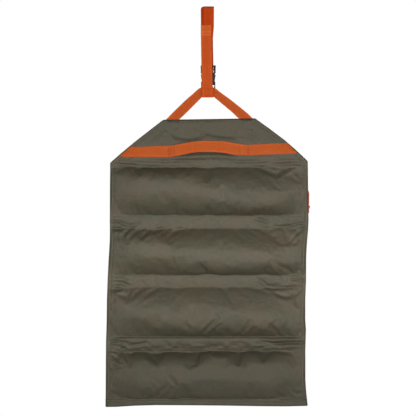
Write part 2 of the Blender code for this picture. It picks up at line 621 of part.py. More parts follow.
def make_zip(n, carrier):
    """Two tapes with a coil along their facing edges; the upper one bends down to the lining."""
    middle = zip_z(n)
    coil_low = LINING_BACK_Y + ZIP_LIFT
    coil_high = coil_low + ZIP_COIL_HEIGHT
    coil_near, coil_far = ZIP_COIL_GAP / 2, ZIP_COIL_GAP / 2 + ZIP_COIL_WIDTH
    tape_low = LINING_BACK_Y + POCKET_EDGE_LIFT + POCKET_WALL + GAP
    tape_high = tape_low + ZIP_TAPE_THICKNESS
    sewn = LINING_BACK_Y + GAP
    coil = [(coil_low, coil_far), (coil_low, coil_near + 0.0004), (coil_low + 0.0006, coil_near),
            (coil_high - 0.0006, coil_near), (coil_high, coil_near + 0.0004), (coil_high, coil_far)]
    lower = coil + [(tape_high, coil_far), (tape_high, ZIP_TAPE_REACH), (tape_low, ZIP_TAPE_REACH), (tape_low, coil_far)]
    bend, flat = SLIDER_WIDTH / 2 + 0.0006, ZIP_TAPE_REACH - 0.0022
    upper = coil + [(tape_high, coil_far), (tape_high, bend + 0.0003), (sewn + ZIP_TAPE_THICKNESS, flat + 0.0003),
                    (sewn + ZIP_TAPE_THICKNESS, ZIP_TAPE_REACH + 0.003), (sewn, ZIP_TAPE_REACH + 0.003),
                    (sewn, flat), (tape_low, bend), (tape_low, coil_far)]
    half = ZIP_LENGTH / 2
    for name, outline, way in (("upper", upper, 1), ("lower", lower, -1)):
        tape = prism([(y, middle + way * reach) for y, reach in outline], -half, half, "X")
        piece(f"zip_{name}_tape_{n + 1}", tape, carrier, BLACK, 0.7)


def bail_place(n):
    """Centre of the slider's bail bar, round which the pull cord turns."""
    coil_high = LINING_BACK_Y + ZIP_LIFT + ZIP_COIL_HEIGHT
    tunnel_floor = coil_high + GAP + SLIDER_PLATE
    return Vector((SLIDER_REST_X, tunnel_floor + GAP * 1.2 + CORD_DIAMETER / 2 + CORD_TURN, zip_z(n)))


def make_slider(n, carrier):
    """Two plates joined by a thin post between the coils, with a bail over the upper plate."""
    coil_low = LINING_BACK_Y + ZIP_LIFT
    plates = [coil_low - GAP - SLIDER_PLATE, coil_low - GAP,
              coil_low + ZIP_COIL_HEIGHT + GAP, coil_low + ZIP_COIL_HEIGHT + GAP + SLIDER_PLATE]
    wide, post = SLIDER_WIDTH / 2, SLIDER_POST / 2
    half_i = [(plates[0], wide), (plates[1], wide), (plates[1], post), (plates[2], post), (plates[2], wide),
              (plates[3], wide)]
    middle = zip_z(n)
    outline = [(y, middle + z) for y, z in half_i] + [(y, middle - z) for y, z in half_i[::-1]]
    low_x = SLIDER_REST_X - SLIDER_LENGTH / 2
    slider = piece(f"slider_{n + 1}", prism(outline, low_x, low_x + SLIDER_LENGTH, "X"), carrier, METAL, 0.4, 0.9)
    bar = bail_place(n)
    inside = CORD_DIAMETER / 2 + 0.0007
    outside = inside + BAIL_BAR
    crown = bar.y + BAIL_BAR / 2
    foot = plates[3] - 0.0004
    bail = [(outside, foot), (outside, crown - 0.0012), (outside - 0.0012, crown),
            (-outside + 0.0012, crown), (-outside, crown - 0.0012), (-outside, foot),
            (-inside, foot), (-inside, crown - BAIL_BAR), (inside, crown - BAIL_BAR), (inside, foot)]
    arch = prism([(bar.x + x, y) for x, y in bail], bar.z - BAIL_DEPTH / 2, bar.z + BAIL_DEPTH / 2, "Z")
    boolean(slider, helper(f"slider_bail_{n + 1}", arch, carrier), "UNION")


def cord_line(n, strand_offset, drop):
    """Points of one strand of pull n: out of the bail, over the pocket's swell, then straight down."""
    bar = bail_place(n)
    # (share of the drop, how far the inner strand stands out from where it leaves the bail)
    falls = ((0.035, 0.0001), (0.12, 0.0010), (0.23, 0.0030), (0.34, 0.0058), (0.46, 0.0083), (0.58, 0.0095),
             (0.70, 0.0098), (0.82, 0.0098), (0.91, 0.0097), (1.0, 0.0095))
    inner_y = bar.y - CORD_TURN
    points = []
    for share, out in falls:
        level = share * CORD_DROP
        if level > drop + 0.0005:
            break
        drift = CORD_SIDE_DRIFT[n] * smooth_step(share / 0.5)
        points.append(Vector((bar.x + drift, inner_y + out + strand_offset, bar.z - level)))
    return points


def make_pull(n, carrier):
    """A cord doubled through the bail and knotted below, its two tails of unlike length."""
    bar = bail_place(n)
    inner = cord_line(n, 0.0, CORD_DROP)
    outer = cord_line(n, STRAND_PITCH, CORD_DROP * SHORT_TAIL)
    over_bar = [bar + Vector((0, -CORD_TURN * math.cos(a), CORD_TURN * math.sin(a)))
                for a in [math.pi * i / 8 for i in range(9)]]
    leaving = bar + Vector((0, CORD_TURN, -0.004))
    points = inner[::-1] + over_bar + [leaving] + [p for p in outer if p.z < bar.z - 0.012]
    curve = bpy.data.curves.new(f"pull_cord_{n + 1}", "CURVE")
    curve.dimensions = "3D"
    curve.bevel_depth = CORD_DIAMETER / 2
    curve.bevel_resolution = 2
    curve.use_fill_caps = True
    curve.render_resolution_u = 0
    spline = curve.splines.new("POLY")
    spline.points.add(len(points) - 1)
    for point, place in zip(spline.points, points):
        point.co = (*(place - Vector(carrier["place"])), 1.0)
    curve.materials.append(material(f"pull_cord_{n + 1}", ORANGE, 0.7))
    cord = bpy.data.objects.new(f"pull_cord_{n + 1}", curve)
    cord.parent = carrier
    bpy.context.collection.objects.link(cord)
    make_knot(n, carrier)


def make_knot(n, carrier):
    """The overhand knot as a bulged ring round both strands."""
    strand = cord_line(n, 0.0, CORD_DROP)
    level = bail_place(n).z - KNOT_DROP
    above = min(strand, key=lambda p: abs(p.z - level))
    middle = Vector((above.x, above.y + STRAND_PITCH / 2, level))
    inside = CORD_DIAMETER / 2 + GAP * 1.6
    bm = bmesh.new()
    loops = []
    # (swell beyond the bore, height as a share of the knot's): down the outside, then up the bore
    for swell, height in ((0.4, 0.5), (0.8, 0.4), (1.0, 0.18), (1.0, -0.18), (0.8, -0.4), (0.4, -0.5),
                          (0.0, -0.5), (0.0, 0.5)):
        loop = []
        for centre_y, start in ((STRAND_PITCH / 2, 0), (-STRAND_PITCH / 2, 180)):
            for x, y in arc((0.0, centre_y), inside + KNOT_SWELL * swell, start, start + 180, 6):
                loop.append(bm.verts.new(middle + Vector((x, y, KNOT_HEIGHT * height))))
        loops.append(loop)
    for a, b in zip(loops, loops[1:] + loops[:1]):
        for i in range(len(a)):
            j = (i + 1) % len(a)
            bm.faces.new([a[i], a[j], b[j], b[i]])
    piece(f"pull_knot_{n + 1}", bm, carrier, ORANGE, 0.7)


def make_row(n, parent):
    """One row with everything sewn to it, hinged on the fold line above it."""
    row = body(f"row_{n + 1}", (0.0, LINING_BACK_Y, row_top(n)), parent)
    make_row_cover(n, row)
    make_row_lining(n, row)
    make_pocket(n, row)
    make_zip(n, row)
    bar = bail_place(n)
    slider = body(f"slider_{n + 1}", (SLIDER_REST_X, bar.y, bar.z), row)
    make_slider(n, slider)
    make_pull(n, body(f"pull_{n + 1}", tuple(bar), slider))
    return row


def main():
    clear_scene()
    header = body("header", (0.0, 0.0, 0.0))
    make_strap(header)
    make_bridle(header)
    make_header(header)
    make_handle(header)
    make_socket(header)
    plug = body("buckle_plug", (BUCKLE_X, BUCKLE_Y, plug_bottom_z()), header)
    root_x = SOCKET_CAVITY_WIDTH / 2 - 0.0025
    prongs = {name: body(name, (BUCKLE_X + side * root_x, BUCKLE_Y, plug_bottom_z()), plug)
              for name, side in (("prong_left", -1), ("prong_right", 1))}
    make_plug(plug, prongs)
    parent = header
    for n in range(len(ROW_HEIGHTS)):
        parent = make_row(n, parent)


main()
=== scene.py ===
"""Looks of the camp kitchen utensil roll: padded olive cloth, orange webbing, zipped pockets behind.

Metres, +Z up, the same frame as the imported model. The padded outer side faces -Y.
"""
import math

import bmesh
import bpy
import numpy as np
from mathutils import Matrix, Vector


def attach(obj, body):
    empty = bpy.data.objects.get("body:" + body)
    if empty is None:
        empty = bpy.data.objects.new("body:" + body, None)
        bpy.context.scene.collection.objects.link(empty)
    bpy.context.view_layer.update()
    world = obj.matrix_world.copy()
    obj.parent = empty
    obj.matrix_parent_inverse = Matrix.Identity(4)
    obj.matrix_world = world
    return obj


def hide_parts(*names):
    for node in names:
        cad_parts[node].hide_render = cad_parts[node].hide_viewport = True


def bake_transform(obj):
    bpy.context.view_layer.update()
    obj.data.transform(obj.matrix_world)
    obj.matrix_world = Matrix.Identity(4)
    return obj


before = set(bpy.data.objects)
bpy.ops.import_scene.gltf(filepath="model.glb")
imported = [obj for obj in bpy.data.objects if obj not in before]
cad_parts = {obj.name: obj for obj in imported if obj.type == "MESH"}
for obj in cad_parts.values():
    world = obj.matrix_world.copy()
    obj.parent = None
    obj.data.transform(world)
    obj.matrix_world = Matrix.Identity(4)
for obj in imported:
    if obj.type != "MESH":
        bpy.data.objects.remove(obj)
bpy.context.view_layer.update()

# The webbing and cloth planes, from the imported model
GAP = 0.0003
PANEL_BACK_Y = -0.0027
LINING_BACK_Y = -0.0016
HEADER_FRONT_Y = -0.0069
ROW_FRONT_Y = -0.0060
STRAP_FRONT_Y = -0.0048
RISER_Y = -0.0067
TAB_Y = -0.0029
BUCKLE_X, BUCKLE_Y = 0.0012, -0.0005
WEBBING = 0.0016
FOLDS = (-0.367, -0.496, -0.634, -0.774)
LOW_EDGE = -0.918
ZIPS = tuple(z - 0.022 for z in FOLDS)
SLIDER_STOP_X = -0.2172
# How far inside the cloth's edge its thread line lies, and how far out the edge is rounded
HEM_LINE = 0.0086
EDGE_ROUND = 0.0017
# How far the sewn lines beside a fold lie from the padding
SEAM_SIDE = 0.0012
# Thread lies on the outer side toward -Y, and on the pocket side toward +Y
OUTWARD = (0.0, -1.0, 0.0)
BACKWARD = (0.0, 1.0, 0.0)

# The cloth's left and right edges as it hangs, a little out of true: (z, left x, right x)
SIDES = (
    (-0.358, -0.2250, 0.2306), (-0.376, -0.2249, 0.2311), (-0.422, -0.2253, 0.2315),
    (-0.457, -0.2255, 0.2319), (-0.491, -0.2257, 0.2326), (-0.514, -0.2255, 0.2315),
    (-0.537, -0.2256, 0.2294), (-0.560, -0.2269, 0.2277), (-0.583, -0.2284, 0.2269),
    (-0.629, -0.2308, 0.2268), (-0.675, -0.2323, 0.2250), (-0.721, -0.2328, 0.2249),
    (-0.744, -0.2335, 0.2265), (-0.767, -0.2343, 0.2259), (-0.790, -0.2346, 0.2252),
    (-0.859, -0.2349, 0.2252), (-0.882, -0.2351, 0.2266), (-0.905, -0.2355, 0.2290),
    (-0.920, -0.2357, 0.2306),
)
# The slanted edges from the top corners to the shoulders, (x, z)
SLANT_LEFT = (
    (-0.1030, -0.2602), (-0.1075, -0.2632), (-0.1642, -0.3079), (-0.1971, -0.3356), (-0.2252, -0.3606),
)
SLANT_RIGHT = (
    (0.1106, -0.2570), (0.1423, -0.2802), (0.1784, -0.3079), (0.1994, -0.3264), (0.2190, -0.3448),
    (0.2308, -0.3566),
)
TOP_LEFT, TOP_RIGHT = SLANT_LEFT[0], SLANT_RIGHT[0]
SHOULDER_LEFT, SHOULDER_RIGHT = SLANT_LEFT[-1][1], SLANT_RIGHT[-1][1]
# The cloth's foot, (x, z)
LOW_LINE = (
    (-0.235, -0.9225), (-0.21, -0.9222), (-0.17, -0.9196), (-0.12, -0.9181), (-0.05, -0.9185),
    (0.03, -0.9192), (0.12, -0.9206), (0.18, -0.9211), (0.2300, -0.9199),
)

# Bulges: (top z, low z) of each row's padded field
BULGES = ((-0.3700, -0.4815), (-0.5110, -0.6185), (-0.6470, -0.7605), (-0.7945, -0.9050))
# Each bulge's crest, as a share of the way down, at its left and right end
CRESTS = ((0.47, 0.52), (0.50, 0.50), (0.56, 0.58), (0.50, 0.42))
# How steeply the padding rises from each row's upper and lower sewn line at seven places; 1 is an even slope
FIRM_AT = (-0.210, -0.140, -0.070, 0.0, 0.070, 0.140, 0.200)
FIRM = (((2.2, 3.6, 3.6, 1.9, 1.15, 1.0, 0.95), (1.1, 1.7, 1.7, 2.0, 2.7, 3.2, 1.1)),
        ((2.6, 2.6, 1.6, 1.15, 0.9, 0.85, 0.95), (1.1, 1.9, 2.6, 3.8, 3.6, 2.9, 2.6)),
        ((2.4, 1.5, 0.95, 0.85, 0.8, 1.1, 0.95), (0.95, 1.1, 1.8, 2.0, 2.4, 3.0, 1.9)),
        ((3.0, 4.8, 5.0, 5.0, 4.0, 2.6, 1.1), (1.4, 1.9, 2.3, 2.3, 2.3, 2.4, 1.5)))
# The upper line of the lowest row sags in lobes: (middle, drop, reach)
LOBES = ((-0.188, 0.0045, 0.026), (-0.128, 0.0062, 0.040), (-0.0385, 0.0042, 0.034), (0.072, 0.0028, 0.040),
         (0.128, 0.0014, 0.018))
CROWN = 0.034
# The share of the crown that the padding reaches right beside the side hems
SIDE_STEP = 0.28


def rgb(r, g, b):
    """An sRGB colour, 0 to 255, as linear values."""
    return tuple(((c / 255 + 0.055) / 1.055) ** 2.4 if c > 10 else c / 255 / 12.92 for c in (r, g, b))


def smooth_step(t):
    t = np.clip(t, 0.0, 1.0)
    return t * t * (3 - 2 * t)


def bell(distance, width, power=2):
    """1 at no distance, falling to 0 over about twice the width."""
    return np.exp(-(distance / width) ** power)


# Node trees

class Graph:
    """The node tree of a material or world, with short helpers."""

    def __init__(self, owner):
        owner.use_nodes = True
        self.nodes = owner.node_tree.nodes
        self.links = owner.node_tree.links

    def node(self, kind, **values):
        made = self.nodes.new(kind)
        for key, value in values.items():
            setattr(made, key, value)
        return made

    def put(self, socket, value):
        """Sets a socket to a number or colour, or links another node's output to it."""
        if isinstance(value, (int, float)):
            socket.default_value = value
        elif isinstance(value, tuple):
            opaque = len(value) == 3 and len(socket.default_value) == 4
            socket.default_value = (*value, 1.0) if opaque else value
        else:
            self.links.new(value, socket)

    def math(self, operation, a, b=0.0, clamp=False):
        made = self.node("ShaderNodeMath", operation=operation, use_clamp=clamp)
        self.put(made.inputs[0], a)
        self.put(made.inputs[1], b)
        return made.outputs[0]

    def plus(self, a, b):
        return self.math("ADD", a, b)

    def minus(self, a, b, clamp=False):
        return self.math("SUBTRACT", a, b, clamp)

    def times(self, a, b, clamp=False):
        return self.math("MULTIPLY", a, b, clamp)

    def excess(self, a, b, gain):
        """How far one value is over another, times the gain, from 0 to 1."""
        return self.times(self.minus(a, b, True), gain, True)

    def spread(self, value, start=(0.0, 1.0), end=(0.0, 1.0), smooth=False):
        """A value mapped from one range to another."""
        made = self.node("ShaderNodeMapRange", interpolation_type="SMOOTHSTEP" if smooth else "LINEAR")
        for socket, given in zip(made.inputs, (value, *start, *end)):
            self.put(socket, given)
        return made.outputs[0]

    def split(self, vector):
        parts = self.node("ShaderNodeSeparateXYZ")
        self.put(parts.inputs[0], vector)
        return parts.outputs


class Paint(Graph):
    """A material whose patterns come from the UV map, in metres, or from the place in space."""

    def __init__(self, name, roughness, metallic=0.0, specular=0.5, sheen=0.0, tint=(1.0, 1.0, 1.0)):
        self.material = bpy.data.materials.new(name)
        super().__init__(self.material)
        self.shader = self.nodes["Principled BSDF"]
        self.shader.inputs["Roughness"].default_value = roughness
        self.shader.inputs["Metallic"].default_value = metallic
        self.shader.inputs["Specular IOR Level"].default_value = specular
        self.shader.inputs["Sheen Weight"].default_value = sheen
        self.shader.inputs["Specular Tint"].default_value = (*tint, 1.0)
        places = self.node("ShaderNodeTexCoord").outputs
        self.uv, self.space = places["UV"], places["Object"]

    def noise(self, scale, detail=2.0, roughness=0.5):
        """Noise with a scale of its own across and along the UV map, or one scale in space."""
        made = self.node("ShaderNodeTexNoise")
        if isinstance(scale, tuple):
            mapped = self.node("ShaderNodeMapping")
            self.put(mapped.inputs["Vector"], self.uv)
            mapped.inputs["Scale"].default_value = (*scale, 1.0)
            self.put(made.inputs["Vector"], mapped.outputs[0])
            scale = 1.0
        else:
            self.put(made.inputs["Vector"], self.space)
        made.inputs["Scale"].default_value = scale
        made.inputs["Detail"].default_value = detail
        made.inputs["Roughness"].default_value = roughness
        return made.outputs["Fac"]

    def wave(self, coordinate, pitch):
        """A sine of a coordinate, from 0.5 to 1.5, one period per pitch."""
        turned = self.times(coordinate, 2 * math.pi / pitch)
        return self.plus(self.times(self.math("SINE", turned), 0.5), 1.0)

    def ramp(self, factor, stops):
        made = self.node("ShaderNodeValToRGB")
        self.put(made.inputs[0], factor)
        elements = made.color_ramp.elements
        elements[0].position, elements[1].position = stops[0][0], stops[-1][0]
        for place, _ in stops[1:-1]:
            elements.new(place)
        for element, (_, colour) in zip(elements, stops):
            element.color = (*colour, 1.0)
        return made.outputs[0]

    def greys(self, factor, stops):
        return self.ramp(factor, [(place, (tone,) * 3) for place, tone in stops])

    def mix(self, factor, a, b, blend="MIX"):
        made = self.node("ShaderNodeMix", data_type="RGBA", blend_type=blend)
        for socket, value in ((0, factor), (6, a), (7, b)):
            self.put(made.inputs[socket], value)
        return made.outputs[2]

    def shade(self, body, factor, stops):
        """A colour made darker or lighter by shares that change with the factor."""
        return self.mix(1.0, body, self.greys(factor, stops), "MULTIPLY")

    def colour(self, value):
        self.put(self.shader.inputs["Base Color"], value)

    def roughness(self, factor, low, high, scaled_by=None):
        value = self.spread(factor, end=(low, high))
        if scaled_by is not None:
            value = self.times(value, scaled_by)
        self.put(self.shader.inputs["Roughness"], value)

    def bump(self, *layers):
        """Layers of (height, metres), one on another."""
        last = None
        for height, distance in layers:
            made = self.node("ShaderNodeBump")
            made.inputs["Strength"].default_value = 1.0
            made.inputs["Distance"].default_value = distance
            self.put(made.inputs["Height"], height)
            if last is not None:
                self.put(made.inputs["Normal"], last)
            last = made.outputs[0]
        self.put(self.shader.inputs["Normal"], last)


# Camera, light and backdrop

def add_object(name, data, place=(0, 0, 0)):
    made = bpy.data.objects.new(name, data)
    made.location = place
    bpy.context.collection.objects.link(made)
    return made


def make_camera():
    data = bpy.data.cameras.new("camera")
    data.sensor_width = 36
    data.lens = 150
    data.clip_end = 30
    camera = add_object("camera", data, (0.0007, -4.0, -0.4637))
    camera.rotation_euler = (math.radians(90), 0, 0)
    bpy.context.scene.camera = camera


# Lamps: (name, place, what it points at, width, height, watts)
LAMPS = (
    ("key", (-0.15, -3.1, -0.50), (0, 0, -0.50), 2.2, 0.3, 62),
    ("fill_left", (-2.0, -2.2, -0.5), (0, 0, -0.5), 0.9, 0.35, 27),
    ("fill_right", (2.0, -2.2, -0.5), (0, 0, -0.5), 0.9, 0.35, 42),
    ("top", (-0.1, -2.4, 1.2), (0, 0, -0.4), 0.4, 0.4, 5),
    ("back", (0.4, 3.0, 0.0), (0, 0, -0.5), 1.2, 1.2, 75),
)


def make_lights():
    for name, place, aim, width, height, watts in LAMPS:
        data = bpy.data.lights.new(name, "AREA")
        data.shape = "RECTANGLE"
        data.size = width
        data.size_y = height
        data.energy = watts
        lamp = add_object(name, data, place)
        lamp.rotation_euler = (Vector(aim) - Vector(place)).to_track_quat("-Z", "Y").to_euler()


# How bright the room on the lamps' side is in reflections, against the white backdrop
ROOM_STRENGTH = 0.04


def make_world():
    """White all round to the camera, and to reflections of the backdrop; the lamps' side is a dim room."""
    world = bpy.data.worlds.new("world")
    bpy.context.scene.world = world
    graph = Graph(world)
    graph.nodes.clear()
    out = graph.node("ShaderNodeOutputWorld")
    mix = graph.node("ShaderNodeMixShader")
    for socket, strength in ((1, ROOM_STRENGTH), (2, 1.0)):
        light = graph.node("ShaderNodeBackground")
        graph.put(light.inputs["Color"], (1, 1, 1, 1))
        graph.put(light.inputs["Strength"], strength)
        graph.put(mix.inputs[socket], light.outputs[0])
    path = graph.node("ShaderNodeLightPath").outputs
    direction = graph.node("ShaderNodeTexCoord").outputs["Generated"]
    backdrop = graph.spread(graph.split(direction)[1], (0.1, 0.7), smooth=True)
    reflected = graph.math("MAXIMUM", path["Is Glossy Ray"], path["Is Transmission Ray"])
    shown = graph.times(reflected, backdrop)
    graph.put(mix.inputs[0], graph.math("MAXIMUM", path["Is Camera Ray"], shown))
    graph.put(out.inputs["Surface"], mix.outputs[0])


def make_floor():
    """A pale round floor under the roll, which fades into the white surroundings at its rim."""
    bm = bmesh.new()
    bmesh.ops.create_circle(bm, cap_ends=True, segments=96, radius=0.95)
    mesh = bpy.data.meshes.new("floor")
    bm.to_mesh(mesh)
    bm.free()
    paint = Paint("floor_paint", 0.9)
    paint.colour((0.82, 0.82, 0.82))
    away = paint.node("ShaderNodeVectorMath", operation="LENGTH")
    paint.put(away.inputs[0], paint.space)
    fade = paint.spread(away.outputs["Value"], (0.35, 0.94), (1.0, 0.0), smooth=True)
    paint.put(paint.shader.inputs["Alpha"], fade)
    mesh.materials.append(paint.material)
    add_object("floor", mesh, (0, 0, -1.07))


# Materials

def weave_height(paint, pitch):
    """Plain weave: warp and weft threads take turns on top."""
    u, v, _ = paint.split(paint.uv)
    warp = paint.math("SINE", paint.times(u, math.pi / pitch))
    weft = paint.math("SINE", paint.times(v, math.pi / pitch))
    return paint.plus(paint.times(paint.times(warp, weft), 0.5), 0.5)


# How the cloth's roughness changes down its length, and the painted shade that darkens its colour towards
# its top and bottom: (distance down the cloth, share)
MATT = (
    (0.26, 1.06), (0.32, 1.02), (0.355, 0.95), (0.41, 1.0), (0.51, 1.0), (0.57, 0.93), (0.63, 0.93),
    (0.69, 0.98), (0.76, 1.02), (0.86, 1.05), (0.93, 1.12), (1.0, 1.10),
)
PAINTED_SHADE_DOWN = (
    (0.26, 0.76), (0.34, 0.86), (0.42, 0.98), (0.52, 1.0), (0.60, 1.08), (0.68, 1.02), (0.77, 0.96),
    (0.85, 0.86), (0.93, 0.68), (1.0, 0.70),
)


def cloth_paint(name, base, tint, dark, pitch=0.0007, rough=0.72, specular=0.28, shade_ends=False):
    """Heathered plain-weave cloth: slubs along both threads and slow colour drift; optionally, shade painted
    into its colour towards its top and bottom, and roughness that changes down its length.
    """
    paint = Paint(name, rough, specular=specular, tint=(1.0, 0.95, 0.80))
    slubs = paint.plus(paint.noise((900, 60), 2.0, 0.6), paint.noise((60, 900), 2.0, 0.6))
    streaks = paint.plus(paint.noise((260, 34), 2.0, 0.6), paint.noise((34, 260), 2.0, 0.6))
    threads = paint.times(slubs, 0.5)
    weave = weave_height(paint, pitch)
    warm = tuple(c * f for c, f in zip(base, (1.08, 0.98, 1.0)))
    cool = tuple(c * f for c, f in zip(tint, (0.945, 1.02, 0.96)))
    body = paint.ramp(paint.noise((12, 15), 3.0, 0.6), ((0.40, cool), (0.60, warm)))
    body = paint.shade(body, streaks, ((0.35, 0.86), (0.65, 1.0), (0.95, 1.14)))
    body = paint.mix(paint.excess(0.56, threads, 2.2), body, dark)
    body = paint.shade(body, weave, ((0.0, 0.80), (1.0, 1.10)))
    matt = None
    # painted shade: the colour is made darker towards the cloth's top and bottom
    if shade_ends:
        down = paint.times(paint.split(paint.uv)[1], -1.0)
        body = paint.shade(body, down, PAINTED_SHADE_DOWN)
        matt = paint.greys(down, MATT)
    paint.colour(body)
    paint.roughness(threads, rough - 0.08, rough + 0.1, matt)
    paint.bump((paint.noise((90, 90), 4.0, 0.6), 0.0016), (threads, 0.00035), (weave, 0.00016))
    return paint.material


def webbing_paint(name, base, light, dark):
    """Woven tape: u runs across the tape and v along it, both in metres."""
    paint = Paint(name, 0.62, specular=0.2, tint=(1.0, 0.62, 0.35))
    u, v, _ = paint.split(paint.uv)
    ribs = paint.wave(u, 0.0021)
    in_rib = paint.math("ABSOLUTE", paint.minus(paint.math("FRACT", paint.times(u, 1 / 0.0042)), 0.5))
    picks = paint.wave(paint.plus(v, paint.times(in_rib, 0.0042)), 0.0011)
    fibre = paint.noise((2600, 120), 2.0, 0.6)
    body = paint.ramp(paint.noise((30, 14), 3.0, 0.6), ((0.32, base), (0.72, light)))
    body = paint.mix(paint.times(paint.minus(1.0, picks), 0.36), body, dark)
    body = paint.mix(paint.excess(0.55, fibre, 1.6), body, dark)
    # painted highlight: the tape is drawn darker in its middle and lighter towards its selvedges
    across = paint.times(paint.math("ABSOLUTE", u), 1 / 0.0125)
    body = paint.shade(body, across, ((0.0, 0.93), (0.60, 0.95), (0.80, 1.08), (0.96, 1.0)))
    body = paint.shade(body, paint.noise((900, 16), 3.0, 0.65), ((0.32, 0.84), (0.50, 1.0), (0.70, 1.10)))
    paint.colour(body)
    paint.roughness(fibre, 0.52, 0.74)
    paint.bump((ribs, 0.00022), (picks, 0.0003), (fibre, 0.00012))
    return paint.material


def plastic_paint(name, base, rough=0.42, specular=0.45):
    paint = Paint(name, rough, specular=specular)
    wear = paint.noise(160, 3.0, 0.6)
    paint.colour(paint.ramp(wear, ((0.35, base), (0.75, tuple(c * 1.7 + 0.002 for c in base)))))
    paint.roughness(wear, rough - 0.08, rough + 0.14)
    paint.bump((paint.noise(1400, 3.0, 0.6), 0.00006))
    return paint.material


def metal_paint(name, base):
    paint = Paint(name, 0.38, metallic=0.85)
    wear = paint.noise(420, 4.0, 0.65)
    paint.colour(paint.ramp(wear, ((0.4, base), (0.72, tuple(c * 2.4 for c in base)))))
    paint.roughness(wear, 0.28, 0.52)
    paint.bump((paint.noise(1800), 0.00004))
    return paint.material


def mesh_paint(name, thread, hole, pitch=0.0024):
    """Knitted mesh: a diamond net of threads over gaps painted dark, as painted shade inside the pocket
    behind.
    """
    paint = Paint(name, 0.7, specular=0.25)
    u, v, _ = paint.split(paint.uv)
    slants = [paint.math("ABSOLUTE", paint.math("SINE", paint.times(slant, math.pi / pitch)))
              for slant in (paint.plus(u, v), paint.minus(u, v))]
    strand = paint.excess(paint.minus(1.0, paint.math("MINIMUM", *slants)), 0.42, 3.4)
    body = paint.ramp(paint.noise((12, 12)), ((0.3, thread), (0.7, tuple(c * 1.35 for c in thread))))
    paint.colour(paint.mix(strand, hole, body))
    paint.bump((strand, 0.0004), (paint.noise((900, 900)), 0.0001))
    return paint.material


def cord_paint(name, base, dark, pitch=0.0013):
    """Braided cord: two sets of strands wound in opposite directions."""
    paint = Paint(name, 0.6, specular=0.25, sheen=0.08)
    x, y, z = paint.split(paint.space)
    one = paint.wave(paint.plus(z, x), pitch)
    two = paint.wave(paint.minus(z, paint.plus(x, y)), pitch)
    braid = paint.math("MAXIMUM", one, two)
    paint.colour(paint.mix(paint.minus(1.0, braid), base, dark))
    paint.bump((braid, 0.0003), (paint.noise(3000), 0.0001))
    return paint.material


# The outer cloth, its colour with painted shade towards its top and bottom
OLIVE = cloth_paint("olive_cloth", rgb(70, 66, 51), rgb(68, 64, 51), rgb(47, 45, 35), rough=0.58,
                    specular=0.6, shade_ends=True)
OLIVE_THREAD = cloth_paint("olive_thread", rgb(84, 82, 68), rgb(92, 89, 74), rgb(64, 62, 51), 0.0004, 0.6)
LINING = cloth_paint("lining_cloth", rgb(66, 66, 63), rgb(72, 71, 67), rgb(50, 50, 48), 0.0005, 0.62)
TAPE = cloth_paint("binding_tape", rgb(46, 46, 43), rgb(52, 51, 48), rgb(32, 32, 31), 0.0008, 0.7)
ZIP_TAPE = cloth_paint("zip_tape_cloth", rgb(38, 38, 37), rgb(43, 43, 42), rgb(26, 26, 26), 0.0006, 0.66)
# The mesh's gaps are painted near black: painted shade inside the pocket
MESH = mesh_paint("pocket_mesh", rgb(74, 74, 71), rgb(26, 26, 26))
ORANGE = webbing_paint("orange_webbing", rgb(196, 80, 30), rgb(203, 88, 37), rgb(158, 53, 16))
# A lighter copy of the same webbing for the riser's folded hem: painted light
ORANGE_LIT = webbing_paint("orange_webbing_hem_lit", rgb(203, 90, 38), rgb(212, 102, 50), rgb(172, 66, 24))
ORANGE_BRIDLE = webbing_paint("orange_webbing_bridle", rgb(195, 86, 37), rgb(201, 92, 43), rgb(158, 59, 20))
ORANGE_HANDLE = webbing_paint("orange_webbing_handle", rgb(191, 89, 40), rgb(197, 95, 46), rgb(157, 62, 23))
TACK_THREAD = plastic_paint("tack_thread", rgb(128, 48, 18), 0.6)
DARK_THREAD = plastic_paint("dark_thread", rgb(42, 44, 42), 0.6)
# A darker copy of the same webbing for the top loop and the back leg: painted shade
ORANGE_SHADED = webbing_paint("orange_webbing_shaded", rgb(186, 62, 17), rgb(192, 68, 22), rgb(146, 42, 9))
ORANGE_THREAD = plastic_paint("orange_thread", rgb(222, 124, 72), 0.6)
CORD = cord_paint("orange_cord", rgb(200, 78, 26), rgb(150, 48, 14))
BLACK = plastic_paint("black_plastic", rgb(12, 12, 13), 0.5, 0.25)
METAL = metal_paint("zip_metal", rgb(66, 66, 68))


# Mesh helpers

def new_object(name, mesh, paint):
    made = add_object(name, mesh)
    mesh.materials.append(paint)
    return made


def carry(piece, body, node=None):
    """The piece rides on a body, and may stand for one of its nodes."""
    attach(piece, body)
    if node:
        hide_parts(node)
    return piece


def mesh_from(name, points, faces, uvs=None):
    """A smooth mesh; without a UV map of its own it gets x and z."""
    mesh = bpy.data.meshes.new(name)
    mesh.from_pydata([tuple(map(float, p)) for p in points], [], [tuple(map(int, f)) for f in faces])
    uvs = [(p[0], p[2]) for p in points] if uvs is None else uvs
    layer = mesh.uv_layers.new(name="UVMap")
    index = np.zeros(len(mesh.loops), np.int32)
    mesh.loops.foreach_get("vertex_index", index)
    layer.data.foreach_set("uv", np.asarray(uvs, np.float32)[index].ravel())
    mesh.shade_smooth()
    return mesh


def tube_faces(first, rings, sides, flip=False, closed=True):
    """Faces of a tube whose rings of points follow each other, closed at its start and maybe its end."""
    faces = []
    last = first + (rings - 1) * sides
    for a in range(first, last, sides):
        for k in range(sides):
            j = (k + 1) % sides
            faces.append((a + k, a + j, a + sides + j, a + sides + k))
    faces.append(tuple(range(first, first + sides))[::-1])
    if closed:
        faces.append(tuple(range(last, last + sides)))
    return [face[::-1] for face in faces] if flip else faces


# The order of a grid cell's corners, where 0 and 1 lie above 2 and 3: the outer cloth faces -Y
OUTER_CELL = (0, 2, 3, 1)
PLAIN_CELL = (0, 1, 3, 2)


